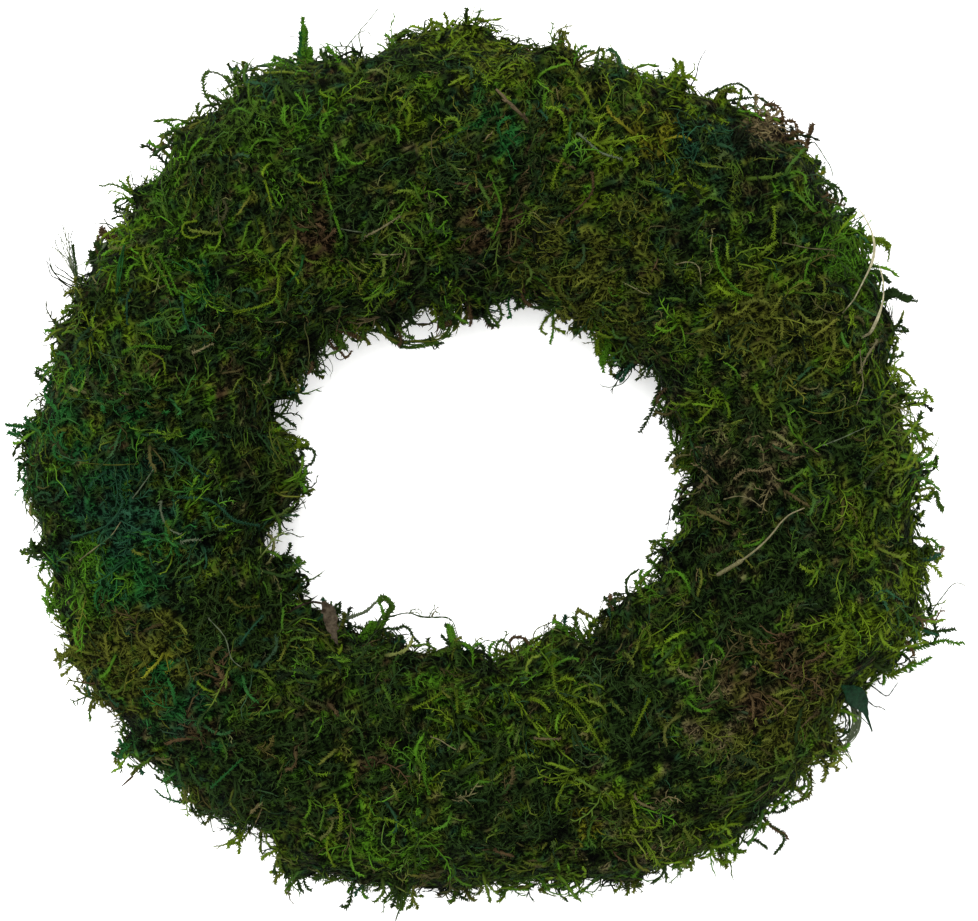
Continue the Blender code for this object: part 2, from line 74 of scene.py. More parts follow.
# The photo: its size, its scale, where the ring's middle is, and the height that the scale holds at.
# The camera stands straight over the photo's middle.
PHOTO_WIDTH, PHOTO_HEIGHT = 978, 921
METRES_PER_PIXEL = 0.0004
RING_MIDDLE_IN_PHOTO = (479.75, 474.9)
SEEN_HEIGHT = 0.050
EYE_HEIGHT = 1.60
EYE = CENTRE + Vector(((PHOTO_WIDTH / 2 - RING_MIDDLE_IN_PHOTO[0]) * METRES_PER_PIXEL,
                       (RING_MIDDLE_IN_PHOTO[1] - PHOTO_HEIGHT / 2) * METRES_PER_PIXEL, EYE_HEIGHT))

# Bed: the dark mat that the moss grows from. The bunches lap over each other and become one form. Its coarse
# tufts are trimmed, and it then swells by its own amount on the outer and the inner side.
BED_LAP = 1.05
BED_CELL = 0.0030
BED_SMOOTHING = 24
BED_TUFT = 0.0010
TRIM_TURNS = 48
TRIM_SIDES = 24
BED_SWELL = 0.0014
# How far round in degrees, and the swell of the outer and the inner side there in metres.
SIDE_SWELLS = (
    (0, -0.0020, -0.0080),
    (15, -0.0040, 0.0015),
    (30, -0.0010, -0.0015),
    (38, 0.0010, -0.0025),
    (46, 0.0030, 0.0010),
    (53, 0.0045, 0.0005),
    (60, 0.0060, 0.0015),
    (75, -0.0030, -0.0010),
    (92, -0.0005, -0.0025),
    (99, 0.0040, -0.0020),
    (107, -0.0030, -0.0060),
    (120, 0.0080, -0.0010),
    (135, 0.0, -0.0065),
    (150, 0.0025, -0.0090),
    (165, 0.0035, -0.0085),
    (180, 0.0050, 0.0055),
    (195, -0.0010, -0.0055),
    (210, 0.0035, -0.0080),
    (217, 0.0033, -0.0095),
    (225, 0.0030, -0.0022),
    (240, 0.0, -0.0005),
    (248, 0.0030, -0.0030),
    (256, 0.0040, -0.0010),
    (264, 0.0010, -0.0015),
    (272, -0.0015, -0.0025),
    (285, -0.0010, -0.0005),
    (300, 0.0045, -0.0020),
    (310, 0.0015, -0.0015),
    (320, 0.0015, 0.0030),
    (330, -0.0030, -0.0040),
    (342, 0.0060, 0.0),
    (350, 0.0020, 0.0010),
)
BED_ROUGHNESS = 0.0030
BED_ROUGH_LENGTH = 0.0110
LUSH_LENGTH = 0.020
LOWEST_MOSS = 0.0010
# No moss grows up to this height, and it thickens over the next stretch.
BARE_HEIGHT = 0.004
BARE_FADE = 0.006
# The mat's fibres lie every way.
FIBRE_TURNS = ((0.3, 0.2, 0.4), (0.5, 0.5, 2.0), (0.4, 1.0, 1.1), (0.2, 0.9, 2.9))
FIBRE_SCALE = 700.0

# Moss tones.
TONES = {
    "black": (0.004, 0.007, 0.002),
    "deep": (0.012, 0.026, 0.005),
    "fern": (0.026, 0.056, 0.005),
    "bright": (0.037, 0.104, 0.005),
    "emerald": (0.010, 0.062, 0.012),
    "teal": (0.010, 0.041, 0.019),
    "olive": (0.056, 0.066, 0.008),
    "lime": (0.064, 0.105, 0.004),
    "gold": (0.098, 0.100, 0.006),
    "tan": (0.094, 0.076, 0.034),
    "hay": (0.110, 0.100, 0.048),
    "brown": (0.044, 0.028, 0.012),
    "grey": (0.070, 0.088, 0.050),
    "lichen": (0.170, 0.190, 0.120),
}

# What grows where no patch says otherwise, dark tones first: tone and share.
MIX = (
    ("black", 0.07),
    ("deep", 0.28),
    ("brown", 0.05),
    ("teal", 0.08),
    ("tan", 0.02),
    ("fern", 0.26),
    ("olive", 0.11),
    ("bright", 0.08),
    ("lime", 0.05),
)
CLUMP_LENGTH = 0.020
SMALL_CLUMP_LENGTH = 0.0065
LIVELIER = 0.16
TONE_STRAY = 0.09
# The moss is painted lighter at the outer rim, as light that reaches it from all sides: by how much, and from
# which radius on.
PAINTED_RIM_LIGHT = 0.24
RIM_RADIUS = 0.158
RIM_WIDTH = 0.020
# Neighbours share part of their hue: the cell that they lie in, and the share.
HUE_CELL = 0.004
HUE_SHARED = 0.55

# Patches of one tone: how far round from the right-hand side in degrees, how far from the middle of the ring
# and how far they reach in metres, tone, and the share of the fronds that take it.
PATCHES = (
    (12, 0.172, 0.030, "lime", 0.28),
    (-8, 0.176, 0.034, "lime", 0.40),
    (-25, 0.165, 0.034, "lime", 0.40),
    (30, 0.180, 0.022, "bright", 0.65),
    (50, 0.158, 0.028, "black", 0.45),
    (55, 0.150, 0.020, "teal", 0.40),
    (51.5, 0.184, 0.011, "brown", 0.70),
    (51, 0.177, 0.008, "tan", 0.40),
    (70, 0.184, 0.016, "lime", 0.55),
    (62, 0.130, 0.026, "lime", 0.40),
    (62, 0.096, 0.028, "olive", 0.60),
    (62, 0.178, 0.022, "lime", 0.40),
    (82, 0.165, 0.030, "olive", 0.50),
    (84, 0.140, 0.022, "emerald", 0.32),
    (86, 0.100, 0.014, "brown", 0.70),
    (90, 0.178, 0.026, "lime", 0.50),
    (118, 0.150, 0.026, "bright", 0.45),
    (124, 0.166, 0.026, "fern", 0.50),
    (140, 0.158, 0.030, "bright", 0.40),
    (150, 0.130, 0.018, "emerald", 0.35),
    (124, 0.120, 0.018, "brown", 0.32),
    (158, 0.150, 0.016, "lime", 0.50),
    (120, 0.115, 0.024, "deep", 0.35),
    (150, 0.182, 0.026, "lime", 0.35),
    (146, 0.184, 0.022, "grey", 0.25),
    (161, 0.104, 0.010, "brown", 0.45),
    (178, 0.150, 0.040, "emerald", 0.50),
    (190, 0.140, 0.030, "teal", 0.55),
    (195, 0.165, 0.022, "bright", 0.60),
    (196, 0.143, 0.014, "emerald", 0.70),
    (210, 0.149, 0.014, "gold", 0.50),
    (218, 0.148, 0.016, "teal", 0.55),
    (222, 0.140, 0.018, "brown", 0.40),
    (287, 0.143, 0.006, "gold", 0.90),
    (38, 0.124, 0.018, "lime", 0.45),
    (63, 0.150, 0.010, "gold", 0.40),
    (208, 0.160, 0.026, "olive", 0.60),
    (220, 0.150, 0.024, "emerald", 0.45),
    (232, 0.150, 0.030, "deep", 0.50),
    (240, 0.120, 0.024, "brown", 0.40),
    (255, 0.150, 0.024, "bright", 0.40),
    (264, 0.100, 0.024, "bright", 0.30),
    (275, 0.110, 0.030, "lime", 0.25),
    (290, 0.115, 0.030, "lime", 0.30),
    (292, 0.150, 0.018, "tan", 0.30),
    (300, 0.170, 0.030, "lime", 0.35),
    (316, 0.135, 0.018, "tan", 0.45),
    (322, 0.150, 0.026, "olive", 0.60),
    (326, 0.142, 0.020, "brown", 0.50),
    (340, 0.125, 0.026, "deep", 0.45),
    (6, 0.120, 0.026, "deep", 0.50),
    (2, 0.108, 0.016, "tan", 0.45),
    (24, 0.130, 0.030, "olive", 0.35),
    (182, 0.116, 0.026, "deep", 0.40),
    (212, 0.116, 0.026, "deep", 0.70),
    (240, 0.116, 0.026, "deep", 0.60),
    (268, 0.118, 0.024, "deep", 0.50),
    (274, 0.130, 0.026, "deep", 0.40),
    (302, 0.114, 0.024, "deep", 0.50),
    (330, 0.116, 0.022, "deep", 0.35),
)
# The raised shoots take the lively tones of a patch first, and its dark ones last.
LIVELY_TONES = ("bright", "emerald", "lime")

# Moss growth: fronds on each square metre of bed, and the least distance between their roots.
FEATHERY = {"Plume": (43000, 0.0031), "Sprig": (20000, 0.0040)}
STRINGY = {"Strand": (112000, 0.0014), "Wisp": (1200, 0.0090)}
LIVELY = {"Plume": 1.0, "Sprig": 0.5}
FROND_LIFT = 0.0050
TILT = (0.6, 0.32, 0.3)
STRINGY_TILT = (0.6, 0.22, 0.3)
# How fast the fronds' way drifts from place to place, and how far each one strays from it.
SWIRL = 28.0
WAY_STRAY = 0.16


def collection(name):
    made = bpy.data.collections.new(name)
    bpy.context.scene.collection.children.link(made)
    return made


def object_of(name, data, into=None):
    made = bpy.data.objects.new(name, data)
    (into or bpy.context.scene.collection).objects.link(made)
    return made


def removed(obj):
    bpy.data.objects.remove(obj, do_unlink=True)


def baked(obj):
    """The mesh that an object's modifiers make, as a plain mesh. The object itself is removed."""
    bpy.context.view_layer.update()
    graph = bpy.context.evaluated_depsgraph_get()
    mesh = bpy.data.meshes.new_from_object(obj.evaluated_get(graph))
    removed(obj)
    return mesh


def mesh_of(shape, name):
    """A bmesh as a plain mesh. The bmesh itself is freed."""
    mesh = bpy.data.meshes.new(name)
    shape.to_mesh(mesh)
    shape.free()
    return mesh


def points_of(mesh):
    points = np.empty(len(mesh.vertices) * 3)
    mesh.vertices.foreach_get("co", points)
    return points.reshape(-1, 3)


def put_points(mesh, points):
    mesh.vertices.foreach_set("co", points.ravel())


def finished(piece, slot, *replaced):
    """Every piece rides on the wreath, which is one body."""
    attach(piece, "root")
    if replaced:
        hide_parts(*replaced)


def in_place_of(node, piece):
    """Finishes a piece that takes the place of a CAD node, and hides the node."""
    rows = frame["record"]["subparts"]
    finished(piece, next(row["material_slot"] for row in rows if row["node"] == node), node)


class Material:
    """A node material in the making."""

    def __init__(self, name, roughness, **sockets):
        self.made = bpy.data.materials.new(name)
        self.made.use_nodes = True
        self.tree = self.made.node_tree
        self.shader = self.tree.nodes["Principled BSDF"]
        self.shader.inputs["Roughness"].default_value = roughness
        for socket, value in sockets.items():
            self.shader.inputs[socket.replace("_", " ")].default_value = value
        self.place = self.node("ShaderNodeTexCoord").outputs["Object"]

    def node(self, kind, **settings):
        made = self.tree.nodes.new(kind)
        for key, value in settings.items():
            setattr(made, key, value)
        return made

    def into(self, socket, value):
        if isinstance(value, bpy.types.NodeSocket):
            self.tree.links.new(value, socket)
        else:
            socket.default_value = value

    def math(self, operation, a, b=0.0):
        made = self.node("ShaderNodeMath", operation=operation)
        self.into(made.inputs[0], a)
        self.into(made.inputs[1], b)
        return made.outputs[0]

    def noise(self, scale, detail=3.0, vector=None):
        made = self.node("ShaderNodeTexNoise")
        self.into(made.inputs["Vector"], vector or self.place)
        made.inputs["Scale"].default_value = scale
        made.inputs["Detail"].default_value = detail
        return made.outputs["Fac"]

    def spread(self, value, low, high, to_low=0.0, to_high=1.0):
        made = self.node("ShaderNodeMapRange")
        for socket, number in zip(("Value", "From Min", "From Max", "To Min", "To Max"),
                                  (value, low, high, to_low, to_high)):
            self.into(made.inputs[socket], number)
        return made.outputs[0]

    def ramp(self, value, stops):
        made = self.node("ShaderNodeValToRGB")
        elements = made.color_ramp.elements
        while len(elements) < len(stops):
            elements.new(1.0)
        for element, (place, colour) in zip(elements, stops):
            element.position = place
            element.color = (*colour, 1.0)
        self.into(made.inputs["Fac"], value)
        return made.outputs["Color"]

    def mix(self, share, a, b):
        made = self.node("ShaderNodeMix", data_type="RGBA")
        for socket, value in zip((made.inputs["Factor"], made.inputs[6], made.inputs[7]), (share, a, b)):
            self.into(socket, value)
        return made.outputs[2]

    def scaled(self, colour, factor):
        made = self.node("ShaderNodeVectorMath", operation="SCALE")
        self.into(made.inputs[0], colour)
        self.into(made.inputs["Scale"], factor)
        return made.outputs[0]

    def fibres(self, turn, scale):
        """Fine streaks that run one way, 1 along their middles."""
        turned = self.node("ShaderNodeMapping", vector_type="TEXTURE")
        self.into(turned.inputs["Vector"], self.place)
        turned.inputs["Rotation"].default_value = turn
        turned.inputs["Scale"].default_value = (8.0, 1.0, 1.0)
        return self.spread(self.noise(scale, 1.0, turned.outputs[0]), 0.50, 0.64)

    def attribute(self, name):
        return self.node("ShaderNodeAttribute", attribute_name=name).outputs["Fac"]

    def bump(self, height, strength, distance):
        made = self.node("ShaderNodeBump")
        made.inputs["Strength"].default_value = strength
        made.inputs["Distance"].default_value = distance
        self.into(made.inputs["Height"], height)
        self.into(self.shader.inputs["Normal"], made.outputs["Normal"])

    def colour(self, value):
        self.into(self.shader.inputs["Base Color"], value)
        return self.made


def tone_of(material):
    """The colour of a frond's own tone."""
    return material.node("ShaderNodeAttribute", attribute_name="tone").outputs["Color"]


def moss_material():
    """Each frond has its own tone. It is painted darkest deep in the mat, as shade, and palest at its raised
    tip, as a highlight.
    """
    moss = Material("moss", 0.85, Specular_IOR_Level=0.05)
    # Painted highlight and painted shade: lighter towards each frond's tip and with its height over the root,
    # darker deep in the mat.
    along = moss.spread(moss.attribute("along"), 0.0, 1.0, 0.82, 1.14)
    height = moss.spread(moss.attribute("height"), 0.0, 1.0, 0.72, 1.14)
    fibre = moss.spread(moss.noise(900.0), 0.3, 0.7, 0.92, 1.08)
    moss.bump(moss.noise(1600.0), 0.25, 0.0004)
    shade = moss.math("MULTIPLY", fibre, moss.math("MULTIPLY", along, height))
    return moss.colour(moss.scaled(tone_of(moss), shade))


def bed_material():
    """The mat between the fronds: matted fibres that lie every way, with painted shade, near black, in the
    gaps between them.
    """
    bed = Material("moss_bed", 0.9, Specular_IOR_Level=0.02)
    mat = 0.0
    for turn in FIBRE_TURNS:
        mat = bed.math("MAXIMUM", bed.fibres(turn, FIBRE_SCALE), mat)
    clump = bed.spread(bed.noise(260.0, 2.0), 0.35, 0.65, 0.25, 1.0)
    bed.bump(mat, 1.0, 0.0012)
    # Painted shade: the gaps between the fibres are painted down to a tenth of the tone.
    shade = bed.math("MULTIPLY", clump, bed.spread(mat, 0.2, 1.0, 0.10, 0.90))
    return bed.colour(bed.scaled(tone_of(bed), shade))


# Frond shapes. Each starts at its root, runs ahead along +X and rises along +Z.
UP = Vector((0, 0, 1))
HANDS = (-1, 1)
ROOT_DEPTH = 0.0010
# How many shapes of each kind there are to pick from, and the seed of their draws.
SHAPE_DRAWS = {
    "Plume": (12, SEED),
    "Sprig": (10, SEED + 1),
    "Strand": (16, SEED + 2),
    "Wisp": (6, SEED + 3),
    "Straw": (12, SEED + 4),
}
PLUME_LEAVES = 16
SPRIG_SHOOTS = 6
# Half widths of the stems and of what grows on them.
PLUME_STEM, PLUME_LEAF = 0.00066, 0.00042
SPRIG_STEM, SPRIG_SHOOT = 0.00034, 0.00028
STRAND_LEAF = 0.00030
WISP_STEM = 0.00024


def crinkled_route(draw, length, pieces, lift, curl, crinkle):
    """A stem's stations: it leaves the bed, arches up to its lift, curls to one side and kinks in drying."""
    turn_each = draw.choice(HANDS) * draw.uniform(0.3, 1.0) * curl / pieces
    heading = -turn_each * pieces / 3
    place = Vector((0.0, 0.0, -ROOT_DEPTH))
    droop = draw.uniform(0.2, 1.1)
    route = [place.copy()]
    for k in range(1, pieces + 1):
        share = k / pieces
        place += Vector((math.cos(heading), math.sin(heading), 0.0)) * length / pieces
        rise = math.sin(math.pi * min(1.0, share * 1.5) / 2)
        place.z = lift * (rise - (1.0 - droop) * share ** 2) - 0.0008 * (1 - share)
        place.z += draw.uniform(-0.3, 0.3) * crinkle * length / pieces
        heading += turn_each + draw.uniform(-crinkle, crinkle)
        route.append(place.copy())
    return route


# The corners of a stem's section, in half widths, and those of a knob's.
CORNERS = ((-1.0, 0.0), (1.0, 0.0), (0.0, 1.3))
TURNED_CORNERS = ((0.0, -1.0), (0.87, 0.5), (-0.87, 0.5))
CORNER_PAIRS = ((0, 1), (1, 2), (2, 0))


class Frond:
    """One frond in the making: three-sided stems and needles, each point marked from root to tip."""

    def __init__(self):
        self.shape = bmesh.new()
        self.along = self.shape.verts.layers.float.new("along")

    def ring(self, place, ahead, width, share, turned):
        across = ahead.cross(UP).normalized()
        up = across.cross(ahead).normalized()
        spots = TURNED_CORNERS if turned else CORNERS
        corners = [self.shape.verts.new(place + (across * x + up * y) * width) for x, y in spots]
        for corner in corners:
            corner[self.along] = share
        return corners

    def stem(self, route, width, taper, share=(0.0, 1.0), knobs=0.0):
        """A stem along a route. With knobs, it swells and turns at every other station."""
        pieces = len(route) - 1
        rings = []
        for k in range(pieces):
            ahead = (route[k + 1] - route[max(k - 1, 0)]).normalized()
            place = share[0] + (share[1] - share[0]) * k / pieces
            odd = knobs > 0 and k % 2 == 1
            size = width * (1 - (1 - taper) * k / pieces) * (1 + knobs if odd else 1 - knobs)
            rings.append(self.ring(route[k], ahead, size, place, odd))
        tip = self.shape.verts.new(route[-1])
        tip[self.along] = share[1]
        for here, there in zip(rings, rings[1:]):
            for a, b in CORNER_PAIRS:
                self.shape.faces.new((here[a], here[b], there[b], there[a]))
        for a, b in CORNER_PAIRS:
            self.shape.faces.new((rings[-1][a], rings[-1][b], tip))
        self.shape.faces.new(list(reversed(rings[0])))

    def twig(self, root, way, length, width, bend, share):
        """A side shoot of one bent piece and a tip."""
        middle = root + way * length * 0.5
        self.stem([root, middle, middle + (way + bend).normalized() * length * 0.5], width, 0.7, share)

    def needle(self, root, way, length, width, share):
        self.stem([root, root + way * length], width, 1.0, share)

    def mesh(self, name):
        bmesh.ops.recalc_face_normals(self.shape, faces=self.shape.faces)
        bmesh.ops.triangulate(self.shape, faces=self.shape.faces)
        for face in self.shape.faces:
            face.smooth = True
        return mesh_of(self.shape, name)


def side_ways(route, share, hand, sweep, rise):
    """The place at a share of a stem's length, and the way that a side shoot leaves it there."""
    pieces = len(route) - 1
    k = min(int(share * pieces), pieces - 1)
    ahead = (route[k + 1] - route[k]).normalized()
    across = ahead.cross(UP).normalized() * hand
    way = across * math.cos(sweep) + ahead * math.sin(sweep) + UP * rise
    return route[k].lerp(route[k + 1], share * pieces - k), way.normalized()


def bend_of(draw):
    """How a side shoot bends, at random."""
    return Vector([draw.uniform(-0.6, 0.6) for _ in range(3)])


def plume(draw):
    """A knobby shoot: a thick stem, rough with scales, set all round with short broad leaves."""
    route = crinkled_route(draw, draw.uniform(0.007, 0.015), 6, draw.uniform(0.0018, 0.0046), 2.6, 0.35)
    frond = Frond()
    frond.stem(route, PLUME_STEM, 0.75, (0.0, 0.6), knobs=0.32)
    for leaf in range(PLUME_LEAVES):
        share = 0.08 + 0.90 * leaf / PLUME_LEAVES
        rise = (0.1, 0.9, 0.5)[leaf % 3]
        root, way = side_ways(route, share, HANDS[leaf % 2], draw.uniform(0.5, 1.0), rise)
        size = draw.uniform(0.0014, 0.0020) * math.sin(math.pi * (0.30 + 0.45 * share))
        frond.needle(root, way, size, PLUME_LEAF, (0.5 * share, min(1.0, 0.6 + share)))
    return frond


def sprig(draw):
    """A branching shoot: a thin stem with a few longer side shoots, feathered at their ends."""
    route = crinkled_route(draw, draw.uniform(0.011, 0.019), 4, draw.uniform(0.0016, 0.0050), 2.0, 0.40)
    frond = Frond()
    frond.stem(route, SPRIG_STEM, 0.6)
    for shoot in range(SPRIG_SHOOTS):
        share = 0.15 + 0.75 * shoot / SPRIG_SHOOTS
        sweep, rise = draw.uniform(0.5, 0.9), draw.uniform(-0.2, 0.5)
        root, way = side_ways(route, share, HANDS[shoot % 2], sweep, rise)
        bend = bend_of(draw)
        size = draw.uniform(0.0024, 0.0050) * (1.2 - 0.7 * share)
        frond.twig(root, way, size, SPRIG_SHOOT, bend, (share, 1.0))
    return frond


def strand(draw):
    """A thin stem with a few small leaves, crinkled as moss dries."""
    pieces = 3
    length = draw.uniform(0.005, 0.012)
    route = crinkled_route(draw, length, pieces, draw.uniform(0.0008, 0.0036), 2.6, 0.55)
    frond = Frond()
    frond.stem(route, draw.uniform(0.00028, 0.00040), 0.6)
    for k in range(pieces):
        sweep, rise = draw.uniform(0.4, 0.9), draw.uniform(-0.2, 0.6)
        root, way = side_ways(route, (k + 0.5) / pieces, HANDS[k % 2], sweep, rise)
        frond.needle(root, way, draw.uniform(0.0011, 0.0020), STRAND_LEAF, (k / pieces, k / pieces + 0.3))
    return frond


def wisp(draw):
    """A long curly thread that stands clear of the rest."""
    route = crinkled_route(draw, draw.uniform(0.014, 0.024), 7, draw.uniform(0.0040, 0.0080), 4.5, 0.50)
    frond = Frond()
    frond.stem(route, WISP_STEM, 0.6)
    return frond


class Growth:
    """A tree that scatters shapes over a bed, in the making."""

    def __init__(self, name):
        self.tree = bpy.data.node_groups.new(name, "GeometryNodeTree")
        self.sockets = {}
        self.socket("Bed", "NodeSocketGeometry")
        self.tree.interface.new_socket("Grown", in_out="OUTPUT", socket_type="NodeSocketGeometry")
        self.input = self.tree.nodes.new("NodeGroupInput")
        self.output = self.tree.nodes.new("NodeGroupOutput")
        for socket, kind in (("Seed", "Int"), ("Middle", "Vector"), ("Swirl", "Float"), ("Stray", "Float"),
                             ("Material", "Material"), ("Bed Material", "Material")):
            self.socket(socket, "NodeSocket" + kind)

    def socket(self, name, kind):
        made = self.tree.interface.new_socket(name, in_out="INPUT", socket_type=kind)
        self.sockets[name] = made.identifier

    def node(self, kind, inputs=None, **settings):
        made = self.tree.nodes.new(kind)
        for key, value in settings.items():
            setattr(made, key, value)
        for key, value in (inputs or {}).items():
            if isinstance(value, bpy.types.NodeSocket):
                self.tree.links.new(value, made.inputs[key])
            else:
                made.inputs[key].default_value = value
        return made

    def given(self, name):
        return self.input.outputs[name]

    def vector(self, operation, a, b):
        second = "Scale" if operation == "SCALE" else 1
        return self.node("ShaderNodeVectorMath", {0: a, second: b}, operation=operation).outputs[0]

    def random_float(self, low, high, seed):
        return self.node("FunctionNodeRandomValue", {2: low, 3: high, 8: seed}, data_type="FLOAT").outputs[1]

    def random_vector(self, reach, seed):
        low, high = ([hand * size for size in reach] for hand in (-1, 1))
        made = self.node("FunctionNodeRandomValue", {0: low, 1: high, 8: seed}, data_type="FLOAT_VECTOR")
        return made.outputs[0]

    def strayed(self, ways, seed):
        """The ways, each strayed a little of its own."""
        stray = self.vector("SCALE", self.random_vector((1.0, 1.0, 1.0), seed), self.given("Stray"))
        return self.vector("ADD", ways, stray)

    def swirling(self, seed):
        """Neighbours run nearly alike, and the way drifts from place to place."""
        position = self.node("GeometryNodeInputPosition").outputs[0]
        swirl = self.node("ShaderNodeTexNoise", {
            "Vector": position, "Scale": self.given("Swirl"), "Detail": 1.0,
        })
        return self.strayed(self.vector("SUBTRACT", swirl.outputs["Color"], (0.5, 0.5, 0.5)), seed)

    def round_the_ring(self, seed):
        """Straight on round the middle of the ring."""
        position = self.node("GeometryNodeInputPosition").outputs[0]
        off = self.vector("SUBTRACT", position, self.given("Middle"))
        out = self.vector("NORMALIZE", off, (0.0, 0.0, 0.0))
        return self.strayed(self.vector("CROSS_PRODUCT", (0.0, 0.0, 1.0), out), seed)

    def layer(self, kind, density_name, ways, tilt_reach, seed):
        """One kind of shape: roots spread over the bed, each with a shape picked, turned and sized."""
        self.socket(kind + " Shapes", "NodeSocketCollection")
        self.socket(kind + " Density", "NodeSocketFloat")
        self.socket(kind + " Spacing", "NodeSocketFloat")
        thickness = self.node("GeometryNodeInputNamedAttribute", {"Name": density_name}, data_type="FLOAT")
        grows = self.node("GeometryNodeInputNamedAttribute", {"Name": "grows"}, data_type="BOOLEAN")
        roots = self.node("GeometryNodeDistributePointsOnFaces", {
            "Mesh": self.given("Bed"), "Selection": grows.outputs[0], "Seed": self.given("Seed"),
            "Distance Min": self.given(kind + " Spacing"), "Density Max": self.given(kind + " Density"),
            "Density Factor": thickness.outputs[0],
        }, distribute_method="POISSON")
        upright = self.node("FunctionNodeAlignRotationToVector", {
            "Vector": roots.outputs["Normal"],
        }, axis="Z")
        combed = self.node("FunctionNodeAlignRotationToVector", {
            "Rotation": upright.outputs[0], "Vector": ways(seed),
        }, axis="X", pivot_axis="Z")
        tilt = self.node("FunctionNodeEulerToRotation", {0: self.random_vector(tilt_reach, seed + 1)})
        turned = self.node("FunctionNodeRotateRotation", {
            "Rotation": combed.outputs[0], "Rotate By": tilt.outputs[0],
        }, rotation_space="LOCAL")
        shapes = self.node("GeometryNodeCollectionInfo", {
            "Collection": self.given(kind + " Shapes"), "Separate Children": True, "Reset Children": True,
        })
        placed = self.node("GeometryNodeInstanceOnPoints", {
            "Points": roots.outputs["Points"], "Instance": shapes.outputs[0], "Pick Instance": True,
            "Rotation": turned.outputs[0], "Scale": self.random_float(0.7, 1.3, seed + 2),
        })
        position = self.node("GeometryNodeInputPosition").outputs[0]
        rooted = self.node("GeometryNodeStoreNamedAttribute", {
            "Geometry": placed.outputs[0], "Name": "root", "Value": position,
        }, data_type="FLOAT_VECTOR", domain="INSTANCE")
        return self.node("GeometryNodeStoreNamedAttribute", {
            "Geometry": rooted.outputs[0], "Name": "lively", "Value": LIVELY.get(kind, 0.0),
        }, data_type="FLOAT", domain="INSTANCE").outputs[0]

    def finish(self, layers):
        """The shapes as a plain mesh on their bed, each with its material."""
        shapes = self.node("GeometryNodeJoinGeometry")
        for made in layers:
            self.tree.links.new(made, shapes.inputs[0])
        plain = self.node("GeometryNodeRealizeInstances", {"Geometry": shapes.outputs[0]})
        whole = self.node("GeometryNodeJoinGeometry")
        for geometry, material in ((self.given("Bed"), "Bed Material"), (plain.outputs[0], "Material")):
            painted = self.node("GeometryNodeSetMaterial", {
                "Geometry": geometry, "Material": self.given(material),
            })
            self.tree.links.new(painted.outputs[0], whole.inputs[0])
        self.tree.links.new(whole.outputs[0], self.output.inputs[0])
        return self

    def grown(self, bed, shapes, settings, numbers):
        """The mesh that the tree makes of a bed."""
        modifier = bed.modifiers.new("growth", "NODES")
        modifier.node_group = self.tree
        inputs = dict(settings)
        for kind, (density, spacing) in numbers.items():
            inputs[kind + " Shapes"] = shapes[kind]
            inputs[kind + " Density"] = float(density)
            inputs[kind + " Spacing"] = spacing
        for name, value in inputs.items():
            modifier[self.sockets[name]] = value
        return baked(bed)


def merged_copy(node):
    """A copy of a CAD node's mesh with its points joined."""
    shape = bmesh.new()
    shape.from_mesh(frame["nodes"][node].data)
    bmesh.ops.remove_doubles(shape, verts=shape.verts, dist=0.000001)
    return mesh_of(shape, node + "_bed")


def drift(points, length, shift=Vector()):
    """Smooth noise at each point, which changes over about this length."""
    return np.array([noise.noise(Vector(point) / length + shift) for point in points])


def wrapped(turn):
    """Turns brought to between half a turn back and half a turn ahead."""
    return np.mod(turn + math.pi, 2 * math.pi) - math.pi


def round_the_section(points):
    """Points as turns round the wreath, turns round the ring's section, and distances from its middle."""
    x, y = points[:, 0] - CENTRE.x, points[:, 1] - CENTRE.y
    out, rise = np.hypot(x, y) - RING_RADIUS, points[:, 2] - SECTION_HEIGHT
    return np.arctan2(y, x), np.arctan2(rise, out), np.hypot(out, rise)


def from_round(turn, section, reach):
    """Points from what round_the_section tells."""
    radius = RING_RADIUS + reach * np.cos(section)
    return np.column_stack((CENTRE.x + radius * np.cos(turn), CENTRE.y + radius * np.sin(turn),
                            SECTION_HEIGHT + reach * np.sin(section)))


def away_from_ring(points):
    """Unit directions away from the middle of the ring's section."""
    turn, section, _ = round_the_section(points)
    across = np.cos(section)
    return np.column_stack((across * np.cos(turn), across * np.sin(turn), np.sin(section)))


def lapped(node, middle):
    """A copy of a bunch's CAD form, stretched over the seams to its neighbours."""
    mesh = merged_copy(node)
    turn, section, reach = round_the_section(points_of(mesh))
    put_points(mesh, from_round(middle + wrapped(turn - middle) * BED_LAP, section, reach))
    return mesh


def trimmed(turn, section, reach):
    """The reaches without the coarse tufts: none stands far out of its part of the form."""
    column = ((turn + math.pi) / (2 * math.pi) * (TRIM_TURNS - 0.01)).astype(int)
    row = ((section + math.pi) / (2 * math.pi) * (TRIM_SIDES - 0.01)).astype(int)
    patch = column * TRIM_SIDES + row
    for k in np.unique(patch):
        here = patch == k
        reach[here] = np.minimum(reach[here], np.percentile(reach[here], 80) + BED_TUFT)
    return reach


def swell(turn, section):
    """How far the bed swells at each point, most on the side that the photo shows fuller."""
    turns, outer, inner = zip(*SIDE_SWELLS)
    degrees = np.degrees(turn) % 360
    out = np.cos(section)
    return (BED_SWELL + np.clip(out, 0, 1) * np.interp(degrees, turns, outer, period=360)
            + np.clip(-out, 0, 1) * np.interp(degrees, turns, inner, period=360))


